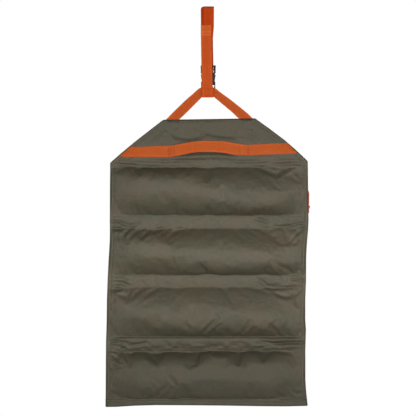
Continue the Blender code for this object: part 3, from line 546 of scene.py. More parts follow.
def grid_faces(rows, columns, cell):
    """Four-sided faces of a grid of points that follow row after row."""
    steps = [(0, 1, columns, columns + 1)[corner] for corner in cell]
    firsts = [r * columns + c for r in range(rows - 1) for c in range(columns - 1)]
    return [tuple(first + step for step in steps) for first in firsts]


def travel(points):
    """How far along a line each of its points lies."""
    steps = np.linalg.norm(np.diff(points, axis=0), axis=1)
    return np.concatenate([[0], np.cumsum(steps)])


def resample(at, places, points):
    """A line's points at new places along it."""
    return np.stack([np.interp(at, places, points[:, k]) for k in range(points.shape[1])], -1)


def across_at(x, y, z):
    """A line of points along x at one y, and at one z or at a z for each."""
    return np.stack([x, np.full(len(x), y), np.broadcast_to(z, x.shape)], -1)


def curve_points(points, step):
    """A smooth line through control points, one point about every step."""
    p = [np.array(q, float) for q in points]
    p = [2 * p[0] - p[1]] + p + [2 * p[-1] - p[-2]]
    out = []
    for a, b, c, d in zip(p, p[1:], p[2:], p[3:]):
        count = max(int(np.linalg.norm(c - b) / step), 1)
        for i in range(count):
            t = i / count
            out.append(0.5 * (2 * b + (c - a) * t + (2 * a - 5 * b + 4 * c - d) * t ** 2
                              + (3 * b - a - 3 * c + d) * t ** 3))
    return np.array(out + [p[-2]])


def ribbon(name, edge_a, edge_b, thickness, paint, slot, columns=8):
    """Webbing between two edge lines of 3-D points: a flat oval section with soft selvedges.

    The material's u runs across it and v along it, in metres.
    """
    middle = (edge_a + edge_b) / 2
    side = edge_b - edge_a
    width = np.linalg.norm(side, axis=1)[:, None]
    side = side / width
    along = np.gradient(middle, axis=0)
    along -= (along * side).sum(1)[:, None] * side
    along /= np.linalg.norm(along, axis=1)[:, None]
    up = np.cross(side, along)
    travelled = travel(middle)
    upper = [(s, 1.0 - 0.35 * abs(s) ** 5) for s in (-1 + 2 * i / columns for i in range(columns + 1))]
    section = upper + [(1.003, 0.0)] + [(s, -h) for s, h in upper[::-1]] + [(-1.003, 0.0)]
    points, uvs = [], []
    for i in range(len(middle)):
        for s, h in section:
            points.append(middle[i] + side[i] * width[i] / 2 * s + up[i] * (thickness / 2 * h))
            uvs.append((s * width[i][0] / 2, travelled[i]))
    ring = len(section)
    last = (len(middle) - 1) * ring
    faces = [(a + k, a + ring + k, a + ring + (k + 1) % ring, a + (k + 1) % ring)
             for a in range(0, last, ring) for k in range(ring)]
    faces += [tuple(range(ring)), tuple(range(last, last + ring))[::-1]]
    mesh = mesh_from(name, points, faces, uvs)
    mesh.set_sharp_from_angle(angle=math.radians(60))
    return new_object(name, mesh, paint)


def hanging_strap(name, line, shift, width, thickness, paint, step=0.002):
    """A strap whose middle follows (y, z) points; shift(z, share) gives its sideways offset."""
    spots = curve_points([(0.0, y, z) for y, z in line], step)
    spots[:, 0] = [shift(p[2], t) for p, t in zip(spots, np.linspace(0, 1, len(spots)))]
    half = np.array((width / 2, 0.0, 0.0))
    return ribbon(name, spots - half, spots + half, thickness, paint, "orange_webbing")


# A stitch's rings: (place along it, radius, lift), as shares of its length and of the thread's radius
STITCH = ((-0.5, 0.35, -0.6), (-0.3, 0.9, 0.35), (0.0, 1.0, 0.6), (0.3, 0.9, 0.35), (0.5, 0.35, -0.6))
STITCH_SIDES = 6


def stitch_mesh(name, runs, paint, length=0.0030, pitch=0.0041, radius=0.00028, out=OUTWARD):
    """Thread stitches along lines of points that already lie on the cloth."""
    points, faces = [], []
    turns = [2 * math.pi * k / STITCH_SIDES for k in range(STITCH_SIDES)]
    for run in runs:
        travelled = travel(run)
        count = int(travelled[-1] / pitch)
        for n in range(count):
            middle = (n + 0.5) * travelled[-1] / count
            spots = resample([middle + length * share for share, _, _ in STITCH], travelled, run)
            direction = spots[-1] - spots[0]
            direction /= np.linalg.norm(direction)
            side = np.cross(direction, out)
            side /= np.linalg.norm(side)
            up = np.cross(side, direction)
            faces += tube_faces(len(points), len(STITCH), STITCH_SIDES)
            for spot, (_, wide, lift) in zip(spots, STITCH):
                for a in turns:
                    points.append(spot + up * (radius * lift + radius * wide * math.sin(a))
                                  + side * radius * wide * math.cos(a))
    return new_object(name, mesh_from(name, points, faces), paint)


def lattice(seed):
    """Random heights on a lattice whose last row and column repeat the first."""
    table = np.random.RandomState(seed).rand(257, 257) * 2 - 1
    table[256], table[:, 256] = table[0], table[:, 0]
    return table


def field_noise(x, y, seed):
    """Smooth noise between -1 and 1 on a lattice of unit spacing."""
    table = lattice(seed)
    xi, yi = np.floor(x).astype(int), np.floor(y).astype(int)
    fx, fy = smooth_step(x - xi), smooth_step(y - yi)
    xi, yi = xi % 256, yi % 256
    low = table[xi, yi] * (1 - fx) + table[xi + 1, yi] * fx
    high = table[xi, yi + 1] * (1 - fx) + table[xi + 1, yi + 1] * fx
    return low * (1 - fy) + high * fy


def line_noise(t, level, seed):
    """The same noise along one line of its lattice."""
    return field_noise(t, np.full(t.shape, float(level)), seed)


# The padded outer cloth: one surface, cut into pieces where the roll folds

def side_at(z):
    table = np.array(SIDES)[::-1]
    return np.interp(z, table[:, 0], table[:, 1]), np.interp(z, table[:, 0], table[:, 2])


def edges_at(z):
    """Left and right edge at each height, the header's slanted ones included."""
    left, right = side_at(z)
    slants = []
    for slant in (SLANT_LEFT, SLANT_RIGHT):
        table = np.array(slant)[::-1]
        slants.append(np.interp(z, table[:, 1], table[:, 0]))
    return np.where(z > SHOULDER_LEFT, slants[0], left), np.where(z > SHOULDER_RIGHT, slants[1], right)


def low_edge(x):
    table = np.array(LOW_LINE)
    return np.interp(x, table[:, 0], table[:, 1])


def outline():
    """The whole cloth's outline as points, clockwise from the top left."""
    right = [(side_at(z)[1], z) for z in np.linspace(SHOULDER_RIGHT, LOW_EDGE, 80)]
    low = [(x, low_edge(x)) for x in np.linspace(0.2296, -0.2348, 60)]
    left = [(side_at(z)[0], z) for z in np.linspace(-0.920, SHOULDER_LEFT, 80)]
    return np.array(list(SLANT_RIGHT[:-1]) + right + low + left + list(SLANT_LEFT[:0:-1]) + [TOP_LEFT])


def along_segment(x, z, a, d):
    """How far along the segment from a by d each point lies, 0 to 1, and how far from it."""
    t = np.clip(((x - a[0]) * d[0] + (z - a[1]) * d[1]) / (d @ d), 0, 1)
    return t, np.hypot(x - a[0] - t * d[0], z - a[1] - t * d[1])


def edge_distance(x, z):
    points = outline()
    best = np.full(x.shape, 1.0)
    for a, b in zip(points, np.roll(points, -1, axis=0)):
        if (b - a) @ (b - a) > 1e-12:
            best = np.minimum(best, along_segment(x, z, a, b - a)[1])
    return best


# Creases in the cloth, in millimetres from the hang point: depth, width, ridge beside it, points,
# and, where one side is gentler than the other, how much wider its upper (or, below 0, lower) side is
CREASES = (
    # above and under the handle, and along the header's seam
    (6.5, 7.5, 0.0, ((-84, -291), (-66, -297), (-46, -300), (-24, -298), (-8, -294)), 3.2),
    (6.0, 7.5, 0.0, ((-12, -286), (10, -291), (30, -294), (48, -296), (66, -299)), 3.2),
    (3.2, 5.0, 0.3, ((-2, -270), (-12, -280), (-20, -292)), 1.8),
    (3.0, 6.0, 0.3, ((84, -272), (96, -286), (112, -298)), -1.8),
    (2.4, 5.0, 0.3, ((-104, -284), (-116, -294), (-134, -305)), 1.8),
    (4.0, 7.0, 0.0, ((-72, -338), (-50, -335), (-25, -331), (0, -330), (22, -331), (42, -334), (64, -338))),
    (-4.2, 6.5, 0.0, ((-68, -347), (-30, -345), (0, -344), (30, -345), (62, -348))),
    (2.4, 3.6, 1.0, ((-170, -354), (-110, -356), (-60, -355), (0, -356))),
    (2.2, 3.6, 1.0, ((40, -354), (80, -357), (120, -356), (150, -352))),
    (3.4, 3.2, 1.6, ((-213, -362), (-196, -364), (-178, -365), (-164, -366))),
    (3.4, 3.2, 1.6, ((150, -363), (176, -362), (200, -361), (214, -362))),
    (3.0, 6.0, 1.2, ((112, -372), (136, -380), (158, -384), (178, -378))),
    (-3.0, 6.0, 0.0, ((166, -392), (190, -380), (214, -368))),
    # left end of the seam between rows 1 and 2, and the gathers under it
    (3.6, 3.6, 1.2, ((-223, -495), (-210, -494), (-200, -497), (-190, -502))),
    (2.6, 4.6, 1.0, ((-194, -501), (-176, -504), (-158, -502))),
    (3.4, 3.2, 0.8, ((-220, -511), (-208, -512), (-197, -513))),
    (2.8, 4.2, 1.4, ((-196, -529), (-190, -522), (-181, -516))),
    (2.8, 4.2, 1.4, ((-177, -531), (-169, -522), (-160, -516))),
    (2.8, 4.2, 1.4, ((-150, -530), (-142, -523), (-133, -517))),
    (2.6, 4.0, 1.4, ((-130, -521), (-118, -516), (-106, -512))),
    (2.8, 4.6, 1.2, ((-92, -531), (-74, -518), (-55, -513))),
    # right end of the same seam
    (2.6, 4.4, 1.2, ((104, -487), (124, -491), (144, -498))),
    (3.2, 3.4, 1.0, ((150, -505), (170, -507), (189, -505), (206, -500), (227, -498))),
    (2.8, 3.2, 1.0, ((229, -503), (210, -519), (190, -540))),
    (2.0, 3.4, 1.0, ((214, -527), (208, -536), (200, -548))),
    # the lower right of row 2
    (3.0, 7.0, 1.6, ((146, -588), (174, -600), (202, -616))),
    (-2.6, 4.0, 0.0, ((149, -601), (160, -611), (172, -621))),
    (3.4, 3.6, 0.8, ((190, -627), (204, -629), (222, -630))),
    # the seam between rows 2 and 3
    (3.0, 4.6, 1.6, ((-219, -636), (-200, -637), (-178, -642))),
    (3.4, 3.2, 0.8, ((-222, -651), (-210, -651), (-196, -651))),
    (2.4, 6.0, 0.6, ((-206, -658), (-196, -664), (-182, -668))),
    (2.2, 5.0, 0.8, ((-172, -668), (-164, -660), (-156, -652))),
    (2.2, 4.8, 1.2, ((-151, -672), (-134, -660), (-112, -650))),
    (3.6, 5.0, 1.8, ((112, -628), (124, -634), (136, -642), (150, -645), (170, -645))),
    (2.8, 3.2, 0.8, ((126, -648), (160, -649), (190, -647), (214, -645))),
    (2.8, 3.4, 0.8, ((214, -650), (206, -660), (198, -669))),
    (2.2, 5.0, 0.6, ((150, -656), (168, -665), (186, -666), (198, -656))),
    # the long diagonal in row 3, and the lobes at the right of its foot
    (3.0, 4.2, 0.8, ((24, -719), (6, -733), (-14, -752))),
    (-3.0, 3.2, 0.0, ((31, -722), (12, -739), (-10, -760))),
    (2.0, 5.0, 1.0, ((96, -728), (86, -742), (78, -754))),
    (2.2, 5.0, 0.8, ((146, -738), (156, -748), (162, -756))),
    (2.2, 5.0, 0.8, ((174, -740), (182, -750), (188, -757))),
    # the strip between rows 3 and 4: its deep crease and its left end
    (-3.8, 4.6, 0.0, ((122, -766), (150, -768), (180, -766), (204, -766), (226, -766))),
    (-3.4, 5.0, 0.0, ((140, -784), (170, -784), (200, -782), (226, -782))),
    (7.4, 2.8, 0.0, ((132, -771), (155, -776), (171, -776), (189, -774), (224, -774))),
    (3.4, 3.0, 1.8, ((-223, -770), (-206, -771), (-186, -774))),
    (2.4, 4.0, 1.2, ((-190, -776), (-164, -778), (-138, -774))),
    # the left end of row 4
    (3.2, 3.0, 1.8, ((-219, -802), (-210, -808), (-202, -817))),
    (-2.6, 4.0, 0.0, ((-202, -796), (-194, -808), (-186, -822))),
    (3.2, 3.0, 1.8, ((-220, -824), (-208, -830), (-197, -828))),
    # the foot of row 4
    (2.0, 5.0, 1.4, ((-127, -899), (-108, -886), (-92, -871))),
    (2.0, 5.0, 1.4, ((-108, -899), (-90, -888), (-74, -874))),
    (1.6, 5.0, 1.0, ((-152, -896), (-140, -884), (-128, -872))),
    (1.8, 2.4, 0.8, ((-190, -905), (-120, -906), (-60, -905))),
    (2.4, 5.0, 1.2, ((152, -886), (168, -896), (184, -900))),
    (1.8, 4.0, 1.0, ((196, -884), (208, -892), (218, -888))),
)


def crease_depth(x, z, narrowest):
    """How far the creases push the cloth back at each point; those narrower than the limit are left out."""
    total = np.zeros(x.shape)
    for depth, width, ridge, points, *lopsided in CREASES:
        if width < narrowest:
            continue
        line = curve_points([np.array(p) / 1000 for p in points], 0.003)
        reach = width / 1000
        near = np.full(x.shape, 1.0)
        share = np.zeros(x.shape)
        above = np.zeros(x.shape)
        count = len(line) - 1
        for i in range(count):
            a, d = line[i], line[i + 1] - line[i]
            t, away = along_segment(x, z, a, d)
            closer = away < near
            near = np.where(closer, away, near)
            share = np.where(closer, (i + t) / count, share)
            above = np.where(closer, d[0] * (z - a[1]) - d[1] * (x - a[0]), above)
        if lopsided:
            near = np.where(above * lopsided[0] > 0, near / abs(lopsided[0]), near)
        fade = np.sin(np.pi * np.clip(share * 0.92 + 0.04, 0, 1)) ** 0.6
        groove = bell(near, reach, 1.35 if width < 4 else 2.0)
        total += fade / 1000 * (depth * groove - ridge * bell(near - reach * 1.9, reach))
    return total


def firm_at(x, n, lower):
    return np.interp(x, FIRM_AT, FIRM[n][lower])


def slow_start(distance, soft):
    """A distance that grows slowly at first, as cloth leaves a sewn line in a soft curve."""
    return np.sqrt(distance ** 2 + soft ** 2) - soft


def bulge_height(x, z, n):
    """Row n's padding above the flat cloth."""
    top, low = BULGES[n]
    left, right = side_at(z)
    across = (x - left) / (right - left)
    steady = smooth_step(np.minimum(x - left, right - x) / 0.03)
    top = top + (0.0005 if n == 0 else 0.0020) * steady * line_noise(x / 0.036 + 9 * n, 0.5, 11 + n)
    low = low + 0.0018 * steady * line_noise(x / 0.042 + 5 * n, 0.5, 15 + n)
    if n == 3:
        top = top + 0.0030
        for middle, drop, reach in LOBES:
            top = top - drop * bell(x - middle, reach)
    above = slow_start(np.maximum(top - z, 0), 0.0012 if n == 0 else 0.0020)
    below = slow_start(np.maximum(z - low, 0), 0.0020)
    t = above / (above + below)
    crest = CRESTS[n][0] + (CRESTS[n][1] - CRESTS[n][0]) * smooth_step((across - 0.3) / 0.6)
    upper = t < crest
    s = np.where(upper, (crest - t) / crest, (t - crest) / (1 - crest))
    s = slow_start(s, 0.18) / slow_start(1, 0.18)
    profile = 1 - s ** np.where(upper, firm_at(x, n, 0), firm_at(x, n, 1))
    rise = 1.05 if n == 3 else 1.0
    for inside, reach in ((x - left, 0.110), (right - x, 0.120)):
        shoulder = SIDE_STEP * np.sqrt(1 - (1 - np.clip((inside - 0.0005) / 0.007, 0, 1)) ** 2)
        slope = np.sin(np.pi / 2 * np.clip((inside - 0.003) / reach, 0, 1))
        rise = rise * (shoulder + (1 - SIDE_STEP) * slope)
    slow = 1 + 0.07 * field_noise(x / 0.11 + 3 * n, z / 0.12, 21 + n)
    return CROWN * profile * rise * slow


def pucker(away, rise, fall):
    """Nothing on the sewn line or behind it, a quick rise beside it, and a slow fall."""
    return np.where(away > 0, (1 - np.exp(-away / rise)) * np.exp(-away / fall), 0)


def gathers(x, z):
    """Short folds that run out of each sewn line, where the padded cloth is gathered into it."""
    total = np.zeros(x.shape)
    left, right = side_at(z)
    for n, (top, low) in enumerate(BULGES):
        for line, way, seed in ((top, -1, 31 + n), (low, 1, 41 + n)):
            away = (z - line) * way
            slant = 0.9 * line_noise(x / 0.06, 0.3, seed + 20) * np.maximum(away, 0)
            folds = line_noise((x + slant) / 0.0135, 0.7, seed)
            folds += 0.5 * line_noise((x - slant) / 0.007, 0.2, seed + 5)
            patch = 0.6 + 0.6 * line_noise(x / 0.07, 0.9, seed + 9)
            firm = np.clip((firm_at(x, n, int(way > 0)) - 0.9) / 1.7, 0.15, 1.5)
            total += 0.0016 * folds * pucker(away, 0.004, 0.017) * firm * np.clip(patch, 0, 1.3)
    for side, seed in ((x - left, 61), (right - x, 62)):
        away = side - 0.0085
        folds = line_noise((z + 0.2 * away) / 0.011, 0.4, seed)
        total += 0.0013 * folds * pucker(away, 0.003, 0.018) * (z < FOLDS[0])
    return total * smooth_step((np.minimum(x - left, right - x) - 0.007) / 0.006)


# Where the strip above row 4 leaves row 3's foot, and where it ends in row 4's swell
LOW_STRIP_TOP, LOW_STRIP_END = -0.7610, -0.8050
# The bridle's feet, which show through the header's cloth, and the webbing that runs up from them
BRIDLE_FEET = (-0.0790, 0.0850)
SEWN_WEBBING = (-0.0925, 0.1020)
# The cloth's least depth over the lining, and over the webbing sewn in under it
OVER_LINING, OVER_WEBBING = 0.0036, 0.0065


def front_y(x, z, narrowest=0):
    """The outer cloth's y at each point."""
    away = edge_distance(x, z)
    header = smooth_step((z - FOLDS[0] + 0.004) / 0.012)
    y = ROW_FRONT_Y + (HEADER_FRONT_Y - ROW_FRONT_Y) * header
    height = np.zeros(x.shape)
    for n, fold in enumerate(FOLDS):
        in_row = (z < fold) & (z > (FOLDS[n + 1] if n < 3 else -1))
        height += np.where(in_row, bulge_height(x, z, n), 0)
    # sewn lines beside each fold, and the strips between them, which stand a little proud
    for top, low in BULGES:
        for line in (top + SEAM_SIDE, low - SEAM_SIDE):
            height -= 0.0004 * bell(z - line, 0.0011) * smooth_step((away - 0.004) / 0.004)
    for (_, high), (low, _) in zip(BULGES, BULGES[1:]):
        inside = np.clip((high - z) / (high - low), 0, 1)
        height += 0.0012 * np.sin(np.pi * inside) ** 0.7 * smooth_step((away - 0.006) / 0.01)
    # the lowest strip stands out at its top and falls back before row 4 swells
    fall = np.clip((LOW_STRIP_TOP - z) / 0.0340, 0, 1)
    ruffled = np.sin(np.pi * np.clip((-0.768 - z) / 0.025, 0, 1))
    ruffle = 0.0011 * field_noise(x / 0.015, z / 0.0062, 73) * ruffled
    dip = 0.0026 * fall * smooth_step((z - LOW_STRIP_END) / 0.010)
    strip = 0.0062 * np.sin(np.pi * fall ** 0.45) + ruffle - dip
    height += strip * smooth_step((away - 0.010) / 0.03) * (z > LOW_STRIP_END)
    # the header's own slow waves, which lie flat where the handle is sewn down
    waves = 0.0016 * field_noise(x / 0.075, z / 0.04, 71) + 0.0007 * field_noise(x / 0.03, z / 0.018, 72)
    under_handle = smooth_step((np.abs(x) - 0.070) / 0.02) * bell(z + 0.3325, 0.017, 4)
    swell = (waves + 0.0009) * (1 - 0.85 * under_handle) - 0.0004 * under_handle
    height += swell * header * smooth_step((away - 0.008) / 0.02)
    for foot in BRIDLE_FEET:
        wide = np.clip(1 - (np.abs(x - foot) / 0.0145) ** 6, 0, 1)
        tall = np.clip(1 - (np.abs(z + 0.268) / 0.0125) ** 6, 0, 1)
        height += 0.0010 * (wide * tall)
    height -= crease_depth(x, z, narrowest) * smooth_step((away - 0.001) / 0.005)
    height += gathers(x, z)
    height += 0.00045 * field_noise(x / 0.02, z / 0.02, 81) * smooth_step((away - 0.006) / 0.01)
    # the hem: a raised rounded band as wide as the turned cloth, with its sewn line inside it
    height += 0.0007 * np.clip(1 - (away / 0.0085) ** 4, 0, 1) * smooth_step(away / 0.002)
    height -= 0.0007 * bell(away - HEM_LINE, 0.0010)
    height -= 0.0012 * np.clip(1 - away / 0.0030, 0, 1) ** 2
    height += 0.0040 * smooth_step((-0.9020 - z) / 0.005) * np.clip((z + 0.9195) / 0.0115, 0, 1)
    lowest = y + OVER_LINING
    for middle in SEWN_WEBBING:
        over = smooth_step((0.026 - np.abs(x - middle)) / 0.008) * smooth_step((z + 0.286) / 0.006)
        lowest = lowest + (OVER_WEBBING - OVER_LINING) * over
    spare = height - lowest
    return y - lowest - 0.5 * (spare + np.sqrt(spare * spare + 0.0006 ** 2))


# The sewn cloth settles over its padding: a simulation on a coarser grid, whose moves the fine cloth takes

SETTLE_STEP = 0.003
SETTLE_COLUMNS = 153
SETTLE_TOP = FOLDS[0] + 0.006
SETTLE_FRAMES = 16
MOST_SLACK = 0.08
MOST_MOVE = 0.006
EASE_FROM, EASE_REACH = -0.0415, 0.0036
# Where more spare cloth was gathered in than elsewhere: (x, z, reach in x, reach in z, share)
SPARE = (
    (-0.150, -0.523, 0.060, 0.016, 0.030), (0.190, -0.515, 0.030, 0.022, 0.026),
    (-0.190, -0.790, 0.030, 0.030, 0.022), (0.175, -0.605, 0.040, 0.020, 0.022),
    (0.150, -0.742, 0.060, 0.022, 0.024), (-0.010, -0.735, 0.040, 0.020, 0.024),
    (-0.090, -0.882, 0.060, 0.022, 0.024), (-0.080, -0.808, 0.110, 0.020, 0.018),
    (0.080, -0.806, 0.100, 0.020, 0.018), (-0.195, -0.660, 0.030, 0.024, 0.020),
    (0.190, -0.665, 0.035, 0.026, 0.020), (0.195, -0.385, 0.030, 0.022, 0.020),
)


def slack_at(x, z, away):
    """Spare cloth at each point as a share of its length, and how free the point is to move."""
    left, right = side_at(z)
    slack = np.zeros(x.shape)
    free = np.zeros(x.shape)
    inside = away > 0.0105
    to_side = np.minimum(x - left, right - x)
    for n, (top, low) in enumerate(BULGES):
        field = inside & (z < top - 0.001) & (z > low + 0.001)
        upper = 0.55 + 0.9 * line_noise(x / 0.05, 0.4, 131 + n)
        lower = 0.45 + 0.9 * line_noise(x / 0.05, 0.4, 141 + n)
        nearer_top = top - z < z - low
        patch = np.clip(np.where(nearer_top, upper, lower), 0.1, 1.3) + np.exp(-(to_side - 0.01) / 0.03)
        firm = np.clip((np.where(nearer_top, firm_at(x, n, 0), firm_at(x, n, 1)) - 0.9) / 1.7, 0.08, 1.3)
        near = np.minimum(top - z, z - low)
        slack = np.where(field, 0.004 + 0.034 * bell(near, 0.020) * patch * firm, slack)
        free = np.where(field, 1.0, free)
    for (_, high), (low, _) in zip(BULGES, BULGES[1:]):
        strip = inside & (z < high - 0.003) & (z > low + 0.003)
        slack = np.where(strip, 0.008, slack)
        free = np.where(strip, 0.95, free)
    for at_x, at_z, wide, tall, share in SPARE:
        slack += share * np.exp(-((x - at_x) / wide) ** 2 - ((z - at_z) / tall) ** 2) * (free > 0)
    return slack, free


# The cloth's physical settings in the simulation
FABRIC = {
    "quality": 4, "mass": 0.15, "tension_stiffness": 20, "compression_stiffness": 20, "shear_stiffness": 8,
    "tension_damping": 8, "compression_damping": 8, "shear_damping": 8, "bending_stiffness": 2,
    "bending_damping": 0.5, "air_damping": 2, "use_pressure": True, "uniform_pressure_force": 4,
    "vertex_group_mass": "held", "vertex_group_pressure": "padded", "vertex_group_shrink": "taut",
    "shrink_min": -MOST_SLACK, "shrink_max": 0,
}


def settle():
    """How far each point of the coarse grid moves as the cloth settles: heights by shares of the width."""
    z = np.arange(SETTLE_TOP, LOW_EDGE, -SETTLE_STEP)
    left, right = edges_at(z)
    x = left[:, None] + (right - left)[:, None] * np.linspace(0, 1, SETTLE_COLUMNS)[None, :]
    zz = np.repeat(z[:, None], SETTLE_COLUMNS, 1)
    slack, free = slack_at(x, zz, edge_distance(x, zz))
    points = np.stack([x, front_y(x, zz, 4.0), zz], -1)
    mesh = mesh_from("settling", points.reshape(-1, 3), grid_faces(*x.shape, OUTER_CELL))
    cloth = add_object("settling", mesh)
    groups = {"held": 1 - free, "padded": (free == 1) * 1.0, "taut": 1 - np.clip(slack / MOST_SLACK, 0, 1)}
    for name, weights in groups.items():
        group = cloth.vertex_groups.new(name=name)
        for i, weight in enumerate(weights.ravel()):
            if weight > 0:
                group.add([i], float(weight), "REPLACE")
    physics = cloth.modifiers.new("cloth", "CLOTH")
    physics.point_cache.frame_start = 1
    physics.point_cache.frame_end = SETTLE_FRAMES
    physics.collision_settings.use_self_collision = False
    for setting, value in FABRIC.items():
        setattr(physics.settings, setting, value)
    physics.settings.effector_weights.gravity = 0
    scene = bpy.context.scene
    for number in range(1, SETTLE_FRAMES + 1):
        scene.frame_set(number)
    settled = cloth.evaluated_get(bpy.context.evaluated_depsgraph_get()).data
    moved = np.zeros(points.size, np.float32)
    settled.vertices.foreach_get("co", moved)
    move = moved.reshape(points.shape) - points
    bpy.data.objects.remove(cloth, do_unlink=True)
    bpy.data.meshes.remove(mesh)
    scene.frame_set(1)
    length = np.linalg.norm(move, axis=-1, keepdims=True)
    return move * np.minimum(1, MOST_MOVE / np.maximum(length, 1e-9))


def spline_shares(t):
    """How much of each of the four nearest rows a smooth surface takes between the middle two."""
    return ((1 - t) ** 3 / 6, (3 * t ** 3 - 6 * t ** 2 + 4) / 6, (3 * (t + t ** 2 - t ** 3) + 1) / 6,
            t ** 3 / 6)


def settled_move(x, z):
    """The settled cloth's move at any point of the outer cloth."""
    left, right = edges_at(z)
    row = np.clip((SETTLE_TOP - z) / SETTLE_STEP, 0, len(SETTLED) - 1.001)
    column = np.clip((x - left) / (right - left), 0, 1) * (SETTLE_COLUMNS - 1.001)
    r, c = np.floor(row).astype(int), np.floor(column).astype(int)
    total = np.zeros((*x.shape, 3))
    for i, by_row in enumerate(spline_shares(row - r)):
        at_row = np.clip(r + i - 1, 0, len(SETTLED) - 1)
        for j, by_column in enumerate(spline_shares(column - c)):
            at_column = np.clip(c + j - 1, 0, SETTLE_COLUMNS - 1)
            total += (by_row * by_column)[..., None] * SETTLED[at_row, at_column]
    return total * (z < SETTLE_TOP)[..., None]


def rows_of_z():
    """Heights of the grid's rows below the header, closer together near the sewn lines."""
    marks = []
    z = FOLDS[0] + 0.012
    lines = [line for bulge in BULGES for line in bulge]
    while z > LOW_EDGE + 0.004:
        near = min(abs(z - line) for line in lines)
        between = any(high + 0.002 > z > low - 0.002 for (_, high), (low, _) in zip(BULGES, BULGES[1:]))
        marks.append(z)
        z -= 0.0010 if near < 0.005 or between else 0.0019
    return marks


def columns():
    """Shares of the width, closer together near both sides."""
    width = 0.456
    near = [0.0, 0.0006, 0.0014, 0.0024, 0.0036, 0.0048, 0.006, 0.0070, 0.0078, 0.0086, 0.0094, 0.0104,
            0.0118, 0.0135]
    middle = np.linspace(0.0155, width - 0.0155, 210)
    return np.array(near + list(middle) + [width - d for d in near[::-1]]) / width


# Where the cloth that bends at each fold starts and ends
STRIP_ZONES = ((-0.3565, -0.3712), (-0.4825, -0.5095), (-0.6205, -0.6475), (-0.7585, -0.7900))
# The outer side's pieces by number: 0 is the header, 1 to 4 are rows, and the folds' strips start here
FIRST_STRIP = 11
PIECES = (0, 1, 2, 3, 4, 11, 12, 13, 14)


def piece_of(z):
    """The number of the piece that a height belongs to."""
    for n, (high, low) in enumerate(STRIP_ZONES):
        if z > high:
            return n
        if z > low:
            return FIRST_STRIP + n
    return 4


def piece_name(number, kind):
    if number == 0:
        return f"header_{kind}"
    if number < FIRST_STRIP:
        return f"row_{kind}_{number}"
    return f"fold_{kind}_{number - FIRST_STRIP + 1}"


def carry_piece(piece, number):
    """A piece of the outer side rides on its body; a fold's strip stays fixed where it lies."""
    if number < FIRST_STRIP:
        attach(piece, f"row_{number}" if number else "header")
        return
    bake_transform(piece)


def front_grid():
    """Points of the whole outer cloth: x, z on a grid, its hems inset by the edge's rounding."""
    u = columns()
    lower = rows_of_z()
    for mark in [SHOULDER_LEFT, SHOULDER_RIGHT] + [z for zone in STRIP_ZONES for z in zone][1:]:
        nearest = min(range(len(lower)), key=lambda i: abs(lower[i] - mark))
        lower[nearest] = mark
    rows_x, rows_z = [], []
    # the header's rows run from its top edge to the first regular row, so that its grid follows both
    bottom = lower[0] + 0.0019
    for share in np.linspace(0, 1, 50):
        level_left = TOP_LEFT[1] + (bottom - TOP_LEFT[1]) * share
        level_right = TOP_RIGHT[1] + (bottom - TOP_RIGHT[1]) * share
        left, right = edges_at(level_left)[0] + EDGE_ROUND, edges_at(level_right)[1] - EDGE_ROUND
        rows_x.append(left + (right - left) * u)
        rows_z.append(level_left + (level_right - level_left) * u - EDGE_ROUND * (1 - share))
    for z in lower:
        left, right = edges_at(z)
        rows_x.append(left + EDGE_ROUND + (right - left - 2 * EDGE_ROUND) * u)
        rows_z.append(np.full(len(u), z))
    left, right = side_at(LOW_EDGE)
    x = left + EDGE_ROUND + (right - left - 2 * EDGE_ROUND) * u
    foot = low_edge(x) + EDGE_ROUND
    for share in (0.3, 0.55, 0.75, 0.9, 1.0):
        rows_x.append(x)
        rows_z.append(lower[-1] + (foot - lower[-1]) * share)
    return np.array(rows_x), np.array(rows_z)


def outer_points(x, z):
    """The settled cloth's points; its tallest swells are eased back to the padding's reach."""
    points = np.stack([x, front_y(x, z), z], axis=-1) + settled_move(x, z)
    over = np.maximum(EASE_FROM - points[..., 1], 0)
    points[..., 1] += over - EASE_REACH * np.tanh(over / EASE_REACH)
    return points


def rim_normals(rim):
    """Outward directions at the points of a closed rim in x and z that runs down its left side first."""
    normal = np.zeros_like(rim)
    for step in (np.roll(rim, -1, axis=0) - rim, rim - np.roll(rim, 1, axis=0)):
        unit = step / np.maximum(np.linalg.norm(step, axis=1), 1e-9)[:, None]
        normal += np.stack([unit[:, 1], -unit[:, 0]], axis=-1)
    return normal / np.linalg.norm(normal, axis=1)[:, None]


